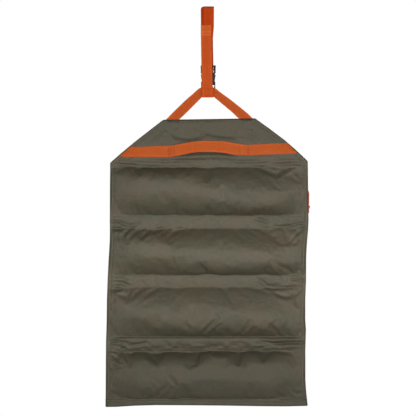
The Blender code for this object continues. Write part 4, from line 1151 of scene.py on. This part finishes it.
def outer_surface():
    """The whole outer cloth: its points, faces and UV map, and each face's piece number."""
    x, z = front_grid()
    y = front_y(x, z)
    rows, across = x.shape
    points = outer_points(x, z).reshape(-1, 3)
    steps = np.cumsum(np.hypot(np.diff(z, axis=0), np.diff(y, axis=0)), axis=0)
    down = np.concatenate([np.zeros((1, across)), steps])
    uvs = np.stack([x, -down - 0.26], axis=-1).reshape(-1, 2)
    levels = z[:, across // 2]
    number_of_row = [piece_of((a + b) / 2) for a, b in zip(levels, levels[1:])]
    faces = grid_faces(rows, across, OUTER_CELL)
    numbers = [number for number in number_of_row for _ in range(across - 1)]
    # the cloth turns round its outer edge and in again behind
    rim = [r * across for r in range(rows)]
    rim += [(rows - 1) * across + c for c in range(1, across)]
    rim += [r * across + across - 1 for r in range(rows - 2, -1, -1)]
    rim += [c for c in range(across - 2, 0, -1)]
    front, flat_uvs = points[rim], uvs[rim]
    normal = rim_normals(front[:, [0, 2]])
    rings = [rim]
    for degrees in (30, 60, 90, 125, 160, 180):
        a = math.radians(degrees)
        reach = EDGE_ROUND * math.sin(a) if degrees < 180 else -0.004
        ring = front.copy()
        ring[:, [0, 2]] += normal * reach
        ring[:, 1] += (PANEL_BACK_Y + GAP - front[:, 1]) * (1 - math.cos(a)) / 2
        rings.append(list(range(len(points), len(points) + len(rim))))
        points = np.concatenate([points, ring])
        uvs = np.concatenate([uvs, flat_uvs + normal * (0.0006 * degrees / 30)])
    for a, b in zip(rings, rings[1:]):
        for i in range(len(rim)):
            j = (i + 1) % len(rim)
            faces.append((a[i], a[j], b[j], b[i]))
            numbers.append(number_of_row[min(rim[i] // across, rim[j] // across, rows - 2)])
    return points, np.array(faces), uvs, np.array(numbers)


def make_front():
    """Builds the whole outer cloth once for its normals, then hands each piece its part of it."""
    points, faces, uvs, numbers = outer_surface()
    whole = mesh_from("outer_cloth", points, faces, uvs)
    normals = np.zeros(points.size, np.float32)
    whole.vertex_normals.foreach_get("vector", normals)
    normals = normals.reshape(-1, 3)
    bpy.data.meshes.remove(whole)
    for number in PIECES:
        picked = faces[numbers == number]
        used = np.unique(picked)
        place = np.full(len(points), -1)
        place[used] = np.arange(len(used))
        name = piece_name(number, "cloth")
        mesh = mesh_from(name, points[used], place[picked], uvs[used])
        mesh.normals_split_custom_set_from_vertices([tuple(map(float, n)) for n in normals[used]])
        made = new_object(name, mesh, OLIVE)
        carry_piece(made, number)
        if number == 0:
            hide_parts("header_panel")
        elif number < FIRST_STRIP:
            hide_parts(f"row_cover_{number}")


def surface_run(line, lift=0.0001):
    """Points on the outer cloth below a line of (x, z) points."""
    line = np.asarray(line)
    return outer_points(line[:, 0], line[:, 1]) - np.array((0.0, lift, 0.0))


def level_run(x, z):
    """A line on the outer cloth at one height."""
    return surface_run(np.stack([x, np.full(len(x), z)], -1))


def make_seams():
    """Sewn lines of single stitches: along the hems, the slants, and both sides of each fold."""
    runs = {number: [] for number in PIECES}
    z = np.linspace(SHOULDER_LEFT - 0.004, LOW_EDGE + HEM_LINE, 260)
    left, right = side_at(z)
    piece_at = np.array([piece_of(level) for level in z])
    for line in (np.stack([left + HEM_LINE, z], -1), np.stack([right - HEM_LINE, z], -1)):
        for number in PIECES:
            picked = line[piece_at == number]
            if len(picked) > 2:
                runs[number].append(surface_run(picked))
    left, right = side_at(LOW_EDGE)
    x = np.linspace(left + HEM_LINE, right - HEM_LINE, 220)
    runs[4].append(surface_run(np.stack([x, low_edge(x) + HEM_LINE], -1)))
    for slant, index, way in ((SLANT_LEFT, 0, 1), (SLANT_RIGHT, 1, -1)):
        level = np.linspace(slant[0][1] - HEM_LINE, slant[-1][1] + 0.001, 90)
        edge = edges_at(level)[index]
        slope = np.gradient(edge, level)
        runs[0].append(surface_run(np.stack([edge + way * HEM_LINE * np.sqrt(1 + slope ** 2), level], -1)))
    top = np.linspace((TOP_LEFT[0] + 0.006, TOP_LEFT[1] - HEM_LINE),
                      (TOP_RIGHT[0] - 0.006, TOP_RIGHT[1] - HEM_LINE), 80)
    runs[0].append(surface_run(top))
    for n, (high, low) in enumerate(BULGES):
        beside = [high + SEAM_SIDE] * (n > 0) + [low - SEAM_SIDE] * (n < 3)
        for z in beside:
            left, right = side_at(z)
            runs[n + 1].append(level_run(np.linspace(left + 0.009, right - 0.009, 300), z))
    for number, lines in runs.items():
        if lines:
            name = piece_name(number, "stitches")
            carry_piece(stitch_mesh(name, lines, OLIVE_THREAD), number)


# Straps, bridle and handle

def arc_points(centre, radius, start, end, steps=10):
    angles = [math.radians(start + (end - start) * i / steps) for i in range(steps + 1)]
    return [(centre[0] + radius * math.cos(a), centre[1] + radius * math.sin(a)) for a in angles]


SADDLE_Z = -0.2053
SOCKET_BAR_TOP = -0.1858
LOOP_RADIUS = 0.0048
# Where the buckle's plug threads the webbing: its upper slot, centre bar and lower slot, and the tail's top
UPPER_SLOT, CENTRE_BAR, LOWER_SLOT, TAIL_TOP = -0.138, -0.1436, -0.1466, -0.1522
OFF_FRAME, OFF_CENTRE = 0.0027, 0.0021
# Sideways places of the straps' middles at each height
LOOP_SHIFT = (
    (-0.180, 0.0004), (-0.135, 0.0010), (-0.090, 0.0), (-0.074, -0.0002), (-0.050, -0.0034),
    (-0.006, -0.0040),
)
FRONT_SHIFT = (
    (-0.080, 0.0), (-0.072, 0.0002), (-0.060, 0.0010), (-0.046, 0.0023), (-0.006, 0.0025),
)
RISER_SHIFT = (
    (-0.206, -0.0003), (-0.176, -0.0013), (-0.128, -0.0025), (-0.066, -0.0036), (-0.042, -0.0037),
)


def shift_at(table, z):
    table = np.array(table)
    return float(np.interp(z, table[:, 0], table[:, 1]))


def riser_shift(z, share=0.0):
    """The riser's sideways place; its folded end lies straight under the buckle."""
    return shift_at(RISER_SHIFT, z) if share < 0.77 else 0.0


def hem_shift(z, share):
    return shift_at(RISER_SHIFT, z)


def keeper_shift(z, share):
    return -0.0003


def back_shift(z, share):
    return shift_at(LOOP_SHIFT, z)


def loop_shift(z, share):
    """The top loop's sideways place, which changes from the front leg's to the back leg's over its top."""
    front = shift_at(FRONT_SHIFT, z)
    if share < 0.555:
        return front
    return front + (shift_at(LOOP_SHIFT, z) - front) * float(smooth_step((share - 0.555) / 0.05))


def make_riser():
    """The hang strap's front leg, folded round the bridle and the socket's bar, with its hem and keeper."""
    tail_y = TAB_Y + WEBBING + GAP
    around = BUCKLE_Y - TAB_Y
    low = SOCKET_BAR_TOP - 0.0042
    line = [(RISER_Y, z) for z in (-0.0435, -0.08, -0.12, -0.17)]
    line += arc_points((STRAP_FRONT_Y, SADDLE_Z), TAB_Y - STRAP_FRONT_Y, 180, 360)
    line += arc_points((BUCKLE_Y, SOCKET_BAR_TOP), around, 180, 0)
    line += [(BUCKLE_Y + around, low - 0.001), (tail_y, low - 0.007), (tail_y, low - 0.014)]
    riser = hanging_strap("riser_webbing", line, riser_shift, 0.0244, WEBBING, ORANGE)
    carry(riser, "header", "strap_riser")

    hem_y = RISER_Y - WEBBING * 1.02
    line = [(RISER_Y - 0.0005, -0.0424), (hem_y + 0.0002, -0.0428), (hem_y, -0.0445), (hem_y, -0.0560),
            (hem_y, -0.0665), (hem_y + 0.0003, -0.0682), (RISER_Y - 0.0004, -0.0686)]
    # the hem is drawn in the webbing's lighter copy: painted light
    carry(hanging_strap("riser_hem", line, hem_shift, 0.0245, 0.0013, ORANGE_LIT, 0.001), "header")

    def across_strap(z, y, middle_z):
        middle = shift_at(RISER_SHIFT, middle_z)
        return across_at(np.linspace(middle - 0.0117, middle + 0.0117, 24), y, z)

    # pale thread rows across the hem; the top one, along the hem's folded edge, also stands in for the
    # highlight on that edge
    pale = [across_strap(z, hem_y - 0.00075, z) for z in (-0.0447, -0.0583, -0.0647)]
    thread = stitch_mesh("hem_stitches", pale, ORANGE_THREAD, 0.0022, 0.0027, 0.00042)
    carry(thread, "header")

    keeper_y = RISER_Y - WEBBING / 2 - 0.0008
    line = [(keeper_y + 0.0006, -0.1884), (keeper_y, -0.1894), (keeper_y - 0.0002, -0.1960),
            (keeper_y, -0.2030)]
    line += arc_points((STRAP_FRONT_Y, SADDLE_Z), STRAP_FRONT_Y - keeper_y, 190, 250, 5)
    carry(hanging_strap("strap_keeper", line, keeper_shift, 0.0272, 0.0012, ORANGE, 0.001), "header")
    thread_y = keeper_y - 0.0006
    dark = [across_strap(-0.0674, hem_y - 0.0002, -0.067),
            across_at(np.linspace(-0.0100, 0.0080, 24), thread_y, -0.1907),
            across_at(np.linspace(-0.0122, 0.0092, 24), thread_y, -0.2045)]
    for x in (-0.0131, 0.0125):
        dark.append(across_at(np.full(24, x), thread_y, np.linspace(-0.1893, -0.2040, 24)))
    thread = stitch_mesh("keeper_stitches", dark, TACK_THREAD, 0.0024, 0.0028, 0.00040)
    carry(thread, "header")


def make_loop():
    """The webbing over the hook, and the back leg down to the buckle's plug."""
    line = [(STRAP_FRONT_Y, -0.078), (STRAP_FRONT_Y, -0.05), (STRAP_FRONT_Y, -0.02)]
    line += arc_points((0.0, -0.004), LOOP_RADIUS, 180, 0, 12)
    line += [(LOOP_RADIUS, -0.02), (LOOP_RADIUS, -0.04), (LOOP_RADIUS, -0.060)]
    # the loop is drawn in the webbing's darker copy: painted shade
    loop = hanging_strap("top_loop_webbing", line, loop_shift, 0.0240, WEBBING, ORANGE_SHADED, 0.001)
    carry(loop, "header", "strap_top_loop")

    tail = BUCKLE_Y + 0.005 + GAP + 0.0008
    line = [(LOOP_RADIUS, -0.0603), (LOOP_RADIUS, -0.09), (LOOP_RADIUS, -0.112),
            (LOOP_RADIUS - 0.0004, -0.124), (BUCKLE_Y + OFF_FRAME + 0.0002, -0.1325),
            (BUCKLE_Y + OFF_FRAME, UPPER_SLOT - 0.0003),
            (BUCKLE_Y - OFF_CENTRE, CENTRE_BAR + 0.0003), (BUCKLE_Y - OFF_CENTRE, LOWER_SLOT - 0.0003),
            (BUCKLE_Y + OFF_FRAME, TAIL_TOP + 0.0003), (tail, TAIL_TOP - 0.0022), (tail, TAIL_TOP - 0.012),
            (tail, TAIL_TOP - 0.022)]
    # the back leg is drawn in the webbing's darker copy: painted shade
    leg = hanging_strap("back_leg_webbing", line, back_shift, 0.0246, WEBBING, ORANGE_SHADED, 0.0016)
    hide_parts("strap_back_leg")
    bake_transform(leg)


# Stations down each half of the buckle's side rails: (x, z, half width, half depth), millimetres
PLUG_RAIL = (
    (15.4, -134.3, 0.5, 0.6), (15.4, -134.8, 1.7, 1.7), (15.1, -137.0, 2.4, 2.2),
    (14.9, -141.0, 2.5, 2.3), (14.9, -145.0, 2.4, 2.2), (15.1, -147.6, 2.0, 2.1),
    (14.9, -150.5, 2.4, 2.1), (14.7, -153.0, 2.4, 2.0), (14.7, -153.9, 1.2, 1.2),
)
SOCKET_RAIL = (
    (14.6, -171.6, 0.9, 1.4), (14.9, -173.6, 1.6, 2.1), (14.9, -177.2, 1.6, 2.1),
    (15.0, -181.5, 1.3, 1.9), (15.1, -185.0, 1.3, 1.9), (14.4, -188.0, 1.5, 1.9),
    (13.4, -189.6, 1.4, 1.6), (13.0, -190.1, 0.6, 0.7),
)


def fuller(value):
    """A cosine or sine moved outward, which makes a circle of them fuller at its corners."""
    return math.copysign(abs(value) ** 0.8, value)


def rounded_bar(name, stations):
    """A moulded rail with an oval section through its stations."""
    sides = 16
    line = curve_points(stations, 0.5) / 1000
    turns = [2 * math.pi * k / sides for k in range(sides)]
    ring = [(fuller(math.cos(a)), fuller(math.sin(a))) for a in turns]
    points = [(x + wide * c, BUCKLE_Y + deep * s, z) for x, z, wide, deep in line for c, s in ring]
    return new_object(name, mesh_from(name, points, tube_faces(0, len(line), sides, flip=True)), BLACK)


def make_buckle_rails():
    for side, way in (("left", -1), ("right", 1)):
        for part, rail, carrier in (("plug", PLUG_RAIL, "buckle_plug"), ("socket", SOCKET_RAIL, "header")):
            stations = [(way * x + BUCKLE_X * 1000, z, wide, deep) for x, z, wide, deep in rail]
            carry(rounded_bar(f"buckle_{part}_rail_{side}", stations), carrier)


# Left and right edges of the bridle's legs, (x, z) in millimetres from the apex down
BRIDLE = {
    "left": (((0, -184), (-16.8, -186.4), (-27.2, -194.2), (-35.2, -201.5), (-51.2, -215.3), (-79.6, -242.9),
              (-93.2, -256.7), (-108.5, -271.8)),
             ((0, -205), (-11.5, -206.8), (-16.0, -211.2), (-20.2, -215.3), (-34.0, -229.1), (-47.8, -242.9),
              (-62.3, -256.7), (-77.8, -271.8))),
    "right": (((0, -205), (12.5, -206.8), (18.5, -211.6), (23.2, -215.3), (39.6, -229.1), (56.1, -242.9),
               (70.6, -256.7), (86.5, -270.8)),
              ((0, -184), (17.0, -187.5), (26.2, -194.6), (35.4, -201.5), (54.3, -215.3), (88.8, -242.9),
               (101.4, -254.7), (117.5, -268.8))),
}


def make_bridle():
    for side, node in (("left", "bridle_webbing"), ("right", None)):
        edges = []
        for points in BRIDLE[side]:
            line = curve_points([(x / 1000, STRAP_FRONT_Y, z / 1000) for x, z in points], 0.003)
            edges.append(resample(np.linspace(0, 1, 60), np.linspace(0, 1, len(line)), line))
        carry(ribbon(f"bridle_{side}", *edges, WEBBING, ORANGE_BRIDLE, "orange_webbing"), "header", node)


# Stations along the handle: (upper x, upper z, lower x, lower z, stand-off), millimetres
HANDLE = (
    (-178.7, -322.4, -204.0, -344.5, 0.0), (-175.3, -322.7, -199.3, -345.5, 0.0),
    (-155.7, -322.9, -163.0, -346.4, 0.0), (-120.0, -321.4, -120.0, -346.4, 0.0),
    (-98.2, -320.6, -98.2, -346.4, 0.0), (-87.6, -320.2, -87.6, -346.2, 0.2),
    (-83.0, -319.8, -83.0, -345.8, 3.2), (-75.2, -318.8, -75.2, -344.3, 6.0),
    (-52.2, -314.6, -52.2, -340.4, 9.2), (-29.2, -310.7, -29.2, -336.0, 11.6),
    (-6.2, -309.6, -6.2, -334.9, 12.0), (21.4, -310.0, 21.4, -335.6, 12.0),
    (37.5, -310.9, 37.5, -337.2, 10.0), (60.5, -314.2, 60.5, -340.9, 6.2),
    (83.5, -317.9, 83.5, -341.8, 1.8), (91.3, -318.4, 91.3, -342.0, 0.1),
    (131.8, -316.5, 131.8, -340.6, 0.0), (160.0, -315.1, 168.0, -339.4, 0.0),
    (180.1, -314.6, 200.6, -338.6, 0.0), (184.5, -314.4, 208.1, -338.6, 0.0),
)
# Where the grip is kinked: (x, depth), millimetres
KINKS = ((-79.0, 1.6), (-28.0, 1.5), (26.5, 1.8), (75.0, 1.2))
HANDLE_POINTS = 220


def handle_lines():
    """The handle's upper and lower edge, each as x, z and stand-off, in step with each other."""
    line = curve_points(HANDLE, 3.0) / 1000
    travelled = travel((line[:, :2] + line[:, 2:4]) / 2)
    line = resample(np.linspace(0, travelled[-1], HANDLE_POINTS), travelled, line)
    return line[:, [0, 1, 4]], line[:, [2, 3, 4]]


def make_handle():
    """The carry handle, sewn flat at both ends and tacked beside its grip, with its stitches."""
    upper, lower = handle_lines()
    cloth = np.min([front_y(*(upper + (lower - upper) * t)[:, :2].T) for t in np.linspace(0, 1, 7)], axis=0)
    cloth = np.convolve(np.pad(cloth, 4, mode="edge"), np.ones(9) / 9, mode="valid")
    edges = []
    for line in (upper, lower):
        off = line[:, 2].copy()
        for x, depth in KINKS:
            off -= depth / 1000 * bell(line[:, 0] - x / 1000, 0.0020)
        y = cloth - WEBBING / 2 - 0.0004 - np.clip(off, 0, None)
        # both ends turn in behind the slanted edges
        y[[0, -1]] += 0.0030
        y[[1, -2]] += 0.0011
        edges.append(np.stack([line[:, 0], y, line[:, 1]], -1))
    handle = ribbon("handle_webbing_cloth", *edges, WEBBING, ORANGE_HANDLE, "orange_webbing", 10)
    carry(handle, "header", "handle_webbing")

    def across(i, j, offset=0.0):
        a, b = edges[0][i], edges[1][j]
        inset = (b - a) / np.linalg.norm(b - a) * 0.0012
        return np.linspace(a + inset, b - inset, 16) + np.array((offset, 0.00005 - WEBBING / 2, 0.0))

    def nearest(line, x):
        return int(np.argmin(np.abs(line[:, 0] - x)))

    # sewn lines: across the tacks and the ends, and along both edges of the ends
    runs = [across(nearest(upper, x), nearest(lower, x), offset)
            for x in (-0.0893, 0.0928) for offset in (-0.0010, 0.0, 0.0010)]
    runs += [across(i, i) for i in (4, HANDLE_POINTS - 5)]
    for share in (0.08, 0.92):
        middle = edges[0] + (edges[1] - edges[0]) * share - np.array((0, WEBBING / 2 - 0.0001, 0))
        runs += [middle[6:nearest(upper, -0.092)], middle[nearest(upper, 0.095):HANDLE_POINTS - 8]]
    thread = stitch_mesh("handle_stitches", runs, TACK_THREAD, 0.0021, 0.0026, 0.00034)
    carry(thread, "header")


def make_foot_stitches():
    """Four rows of dark thread through the header's cloth at each foot of the bridle: real stitching, whose
    dark colour also stands in for the shade along each foot.
    """
    runs = []
    for foot, way, high in ((-0.0775, -1, -0.2638), (0.0885, 1, -0.2600)):
        for k in range(4):
            x = np.linspace(foot - 0.0135, foot + 0.0125, 20) + way * 0.001 * k
            runs.append(level_run(x, high - 0.0009 * k))
    made = stitch_mesh("bridle_foot_stitches", runs, DARK_THREAD, 0.0022, 0.0026, 0.00042)
    carry(made, "header")


# The pocket side

LINING_WIDTH, POCKET_WIDTH = 0.452, 0.448
TAPE_WIDTH = 0.0092
TAPE_THICK = 0.0008


def lean_at(z):
    left, right = side_at(z)
    return (left + right) / 2 - 0.0006


def grid_object(name, x, y, z, paint, flip=True):
    """A sheet through a grid of points."""
    points = np.stack([x, y, z], -1).reshape(-1, 3)
    faces = grid_faces(*x.shape, PLAIN_CELL[::-1] if flip else PLAIN_CELL)
    return new_object(name, mesh_from(name, points, faces), paint)


def make_lining(n):
    """The lining of the header, n = 0, or of a row."""
    if n == 0:
        z = np.linspace(TOP_RIGHT[1] - 0.004, FOLDS[0] + 0.0002, 40)
        left, right = edges_at(z)
        name, node, body, under = "header_lining_cloth", "header_lining", "header", "header_cloth"
    else:
        low = FOLDS[n] if n < 4 else LOW_EDGE + 0.0016
        z = np.linspace(FOLDS[n - 1] - 0.0002, low + 0.0002, 60)
        left, right = side_at(z)
        name, node, body, under = f"row_lining_cloth_{n}", f"row_lining_{n}", f"row_{n}", f"row_cloth_{n}"
    u = np.linspace(0, 1, 150)
    x = left[:, None] + 0.0022 + (right - left - 0.0044)[:, None] * u[None, :]
    zz = np.repeat(z[:, None], len(u), 1)
    if n == 0:
        drop = (TOP_LEFT[1] - TOP_RIGHT[1]) * np.clip((0.1136 - x) / 0.22, 0, 1)
        zz = zz + drop * ((zz - zz.min()) / (zz.max() - zz.min()))
    y = LINING_BACK_Y - 0.0001 + 0.00022 * field_noise(x / 0.03, zz / 0.03, 91 + n)
    made = carry(grid_object(name, x, y, zz, LINING), body, node)


def row_low(n):
    return FOLDS[n + 1] if n < 3 else LOW_EDGE


def pocket_low(n):
    """The height at which the pocket's mesh is sewn down."""
    return row_low(n) + 0.007


def pocket_rise(n, x, z):
    """Height of pocket n's cloth above the lining, with x from its own middle."""
    swell_top = ZIPS[n] - 0.013
    swell_low = row_low(n) + 0.013
    along = np.clip((swell_top - z) / (swell_top - swell_low), 0.0, 1.0)
    edge = 0.0019 + (GAP - 0.0019) * along
    middle = edge + 0.012 * np.sin(np.pi * along) ** 0.75
    t = np.clip((0.218 - np.abs(x)) / 0.024, 0, 1)
    return GAP + (middle - GAP) * np.sqrt(1 - (1 - t) ** 2)


def make_pocket(n):
    top, low = ZIPS[n] - 0.0053, pocket_low(n)
    near = [0.0, 0.002, 0.004, 0.006, 0.0068, 0.008, 0.010, 0.0125, 0.0155, 0.019, 0.023, 0.028]
    left = [-POCKET_WIDTH / 2 + d for d in near]
    x = np.array(left + list(np.linspace(-0.190, 0.190, 90)) + [-d for d in left[::-1]])
    xx, zz = np.meshgrid(x, np.linspace(top, low, 56))
    rise = pocket_rise(n, xx, zz)
    slow = field_noise(xx / 0.055, zz / 0.034, 101 + n)
    fine = field_noise((xx + 0.5 * (zz - top)) / 0.013, zz / 0.045, 111 + n)
    folds = 0.0026 * slow + 0.0013 * fine + 0.0005 * field_noise(xx / 0.006, zz / 0.02, 151 + n)
    y = LINING_BACK_Y + rise + 0.0006 + folds * np.clip((rise - GAP) / 0.01, 0, 1)
    made = grid_object(f"pocket_cloth_{n + 1}", xx + lean_at(zz), y, zz, MESH)
    carry(made, f"row_{n + 1}", f"pocket_{n + 1}")


def make_bindings(n):
    """Tapes sewn over the pocket's raw edges and along the row's outer edges."""
    row = f"row_{n + 1}"
    z = np.linspace(FOLDS[n] - 0.0012, row_low(n) + (0.0012 if n < 3 else 0.0022), 90)
    left, right = side_at(z)
    # the tape lies over the pocket's edge, and down on the lining beside a fold, so that the fold can close
    to_fold = np.minimum(FOLDS[n] - z, z - row_low(n) if n < 3 else 1.0)
    y = LINING_BACK_Y + 0.0006 + 0.0010 * smooth_step((to_fold - 0.0025) / 0.0045)
    inner = np.minimum(left + TAPE_WIDTH, SLIDER_STOP_X)
    tapes = [("left", inner, left + 0.0012), ("right", right - 0.0012, right - TAPE_WIDTH)]
    for side, a, b in tapes:
        edges = (np.stack([x, y, z], -1) for x in (a, b))
        carry(ribbon(f"binding_{side}_{n + 1}", *edges, TAPE_THICK, TAPE, "zip_tape", 6), row)
    runs = [np.stack([x, y + 0.00045, z], -1) for x in (left + 0.0078, right - 0.0078)]
    if n == 3:
        x = np.linspace(-0.230, 0.226, 60)
        foot = low_edge(x)
        edges = (across_at(x, LINING_BACK_Y + 0.0012, foot + up) for up in (0.0014, HEM_LINE))
        carry(ribbon("binding_foot", *edges, TAPE_THICK, TAPE, "zip_tape", 6), row)
        runs.append(across_at(x, LINING_BACK_Y + 0.00165, foot + 0.0072))
    low = pocket_low(n)
    x = np.linspace(-0.222, 0.222, 90) + float(lean_at(low))
    edges = (across_at(x, LINING_BACK_Y + 0.0011, low + 0.003 + up) for up in (-0.0035, 0.0035))
    carry(ribbon(f"pocket_foot_tape_{n + 1}", *edges, 0.0007, TAPE, "zip_tape", 6), row)
    runs.append(across_at(x, LINING_BACK_Y + 0.0015, low + 0.0054))
    carry(stitch_mesh(f"binding_stitches_{n + 1}", runs, DARK_THREAD, out=BACKWARD), row)


# The zips' coil and tape planes
COIL_Y = LINING_BACK_Y + 0.003 + 0.0014
TAPE_Y = LINING_BACK_Y + 0.0019 + 0.001 + GAP + 0.0004
# The tapes' sections: (distance from the zip's middle line, y)
ZIP_SECTIONS = {
    "upper": ((0.0026, COIL_Y - 0.0008), (0.0056, TAPE_Y), (0.0100, LINING_BACK_Y + 0.0008),
              (0.0150, LINING_BACK_Y + 0.0007)),
    "lower": ((0.0026, COIL_Y - 0.0008), (0.0056, TAPE_Y), (0.0090, TAPE_Y), (0.0120, TAPE_Y)),
}
# A coil tooth's rings: (reach from the middle line, size)
TOOTH = ((0.0005, 0.45), (0.0009, 0.95), (0.0018, 1.0), (0.0030, 0.8))
TOOTH_SIDES = 6
TOOTH_PITCH = 0.0016
COIL_HALF = 0.218


def make_zip(n):
    """Two woven tapes, each with a row of coil teeth along its inner edge."""
    x = np.linspace(-0.219, 0.219, 160)
    for name, way in (("upper", 1), ("lower", -1)):
        section = [(0.0, y, ZIPS[n] + way * away) for away, y in ZIP_SECTIONS[name]]
        spots = curve_points(section, 0.0008)
        xx, yy = np.meshgrid(x, spots[:, 1])
        zz = np.meshgrid(x, spots[:, 2])[1]
        yy = yy + 0.00012 * line_noise(xx / 0.012, n, 121)
        tape = grid_object(f"zip_{name}_cloth_{n + 1}", xx, yy, zz, ZIP_TAPE, way > 0)
        carry(tape, f"row_{n + 1}", f"zip_{name}_tape_{n + 1}")
        carry(make_coil(f"zip_{name}_coil_{n + 1}", ZIPS[n], way), f"row_{n + 1}")


def make_coil(name, middle, way):
    """A row of rounded teeth, wound on the tape's edge, that reach across the zip's middle line."""
    points, faces = [], []
    turns = [2 * math.pi * k / TOOTH_SIDES for k in range(TOOTH_SIDES)]
    for i in range(int(2 * COIL_HALF / TOOTH_PITCH)):
        x = -COIL_HALF + (i + (0.25 if way > 0 else 0.75)) * TOOTH_PITCH
        faces += tube_faces(len(points), len(TOOTH), TOOTH_SIDES, flip=way < 0, closed=False)
        for reach, size in TOOTH:
            for a in turns:
                points.append((x + 0.00052 * size * math.cos(a), COIL_Y + 0.00125 * size * math.sin(a),
                               middle + way * reach))
    return new_object(name, mesh_from(name, points, faces), BLACK)


# Sliders' pull cords

CORD_DIAMETER = 0.003
CORD_TURN = 0.00284
STRAND_PITCH = 0.0035
CORD_DROP = 0.086
# How far each cord hangs to the side, and how far out it stands down its length: (share of the drop, out)
CORD_DRIFT = (0.0207, 0.003, 0.003, 0.003)
FALLS = (
    (0.035, 0.0001), (0.12, 0.0010), (0.23, 0.0030), (0.34, 0.0058), (0.46, 0.0083), (0.58, 0.0095),
    (0.70, 0.0098), (0.82, 0.0098), (0.91, 0.0097), (1.0, 0.0095),
)
KNOT_DROP = 0.072
KNOT_POINTS = 41
KNOT_TURNS = 2.1
# The middle of the slider's bail where the cord turns over it
BAR_X = 0.213
BAR_Y = LINING_BACK_Y + 0.003 + 0.0028 + GAP + 0.0011 + GAP * 1.2 + CORD_DIAMETER / 2 + CORD_TURN


def strand(bar, drift, offset, reach):
    """Points down one strand of the cord, as far as a share of its drop."""
    points = []
    for share, out in FALLS:
        if share > reach + 0.005:
            break
        aside = drift * float(smooth_step(share / 0.5))
        points.append(bar + Vector((aside, out + offset - CORD_TURN, -share * CORD_DROP)))
    return points


def tube_curve(name, points, radius):
    """A round tube along a line of points."""
    curve = bpy.data.curves.new(name, "CURVE")
    curve.dimensions = "3D"
    curve.bevel_depth = radius
    curve.bevel_resolution = 4
    curve.use_fill_caps = True
    spline = curve.splines.new("POLY")
    spline.points.add(len(points) - 1)
    for point, place in zip(spline.points, points):
        point.co = (*place, 1.0)
    spline.use_smooth = True
    return add_object(name, curve)


def make_knot(name, centre):
    """Two turns of cord wound round both strands."""
    wound = []
    for t in np.linspace(0, 1, KNOT_POINTS):
        a = 2 * math.pi * KNOT_TURNS * t + 0.6
        pull_in = 1 - 0.35 * abs(2 * t - 1) ** 3
        turn = (0.0024 * pull_in * math.cos(a), 0.0042 * pull_in * math.sin(a), 0.0026 - 0.0052 * t)
        wound.append(centre + Vector(turn))
    bent = tube_curve(name, wound, 0.00135)
    mesh = bpy.data.meshes.new_from_object(bent.evaluated_get(bpy.context.evaluated_depsgraph_get()))
    bpy.data.objects.remove(bent, do_unlink=True)
    mesh.name = name
    mesh.materials.clear()
    mesh.shade_smooth()
    return new_object(name, mesh, CORD)


def make_pull(n):
    """A doubled cord through the bail: two strands, an overhand knot and two sealed tails."""
    bar = Vector((BAR_X, BAR_Y, ZIPS[n]))
    crest = bar + Vector((0, 0, CORD_TURN))

    def turn(share):
        a = math.pi * share
        return bar + Vector((0, -CORD_TURN * math.cos(a), CORD_TURN * math.sin(a)))

    inside = strand(bar, CORD_DRIFT[n], 0.0, 1.0)
    outside = [p for p in strand(bar, CORD_DRIFT[n], STRAND_PITCH, 0.91) if p.z < bar.z - 0.012]
    lines = {
        "inner": [crest] + [turn(k / 12) for k in (4.5, 3, 1.5, 0)] + inside,
        "outer": [crest] + [turn(k / 12) for k in (7.5, 9, 10.5, 12)]
                 + [bar + Vector((0, CORD_TURN, -0.004))] + outside,
    }
    strands = {}
    for side, line in lines.items():
        smooth = curve_points([tuple(p) for p in line], 0.0016)
        made = tube_curve(f"pull_strand_{side}_{n + 1}", smooth, CORD_DIAMETER / 2)
        made.data.materials.append(CORD)
        strands[side] = made
    knot_z = bar.z - KNOT_DROP
    above = min(inside, key=lambda p: abs(p.z - knot_z))
    knot = make_knot(f"pull_knot_cord_{n + 1}", Vector((above.x, above.y + STRAND_PITCH / 2, knot_z)))
    carry(strands["inner"], f"pull_{n + 1}", f"pull_cord_{n + 1}")
    carry(strands["outer"], f"pull_{n + 1}")
    carry(knot, f"pull_{n + 1}", f"pull_knot_{n + 1}")


def repaint():
    """Materials for the model's own rigid pieces."""
    paints = {"buckle": BLACK, "prong": BLACK, "slider": METAL}
    for name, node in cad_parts.items():
        for start, paint in paints.items():
            if name.startswith(start):
                node.data.materials.clear()
                node.data.materials.append(paint)


make_camera()
make_lights()
make_world()
make_floor()
bpy.context.scene.view_settings.view_transform = "Standard"
for row in range(4):
    make_pull(row)
SETTLED = settle()
make_front()
make_seams()
make_riser()
make_loop()
make_buckle_rails()
make_bridle()
make_handle()
make_foot_stitches()
for panel in range(5):
    make_lining(panel)
for row in range(4):
    make_pocket(row)
    make_bindings(row)
    make_zip(row)
repaint()
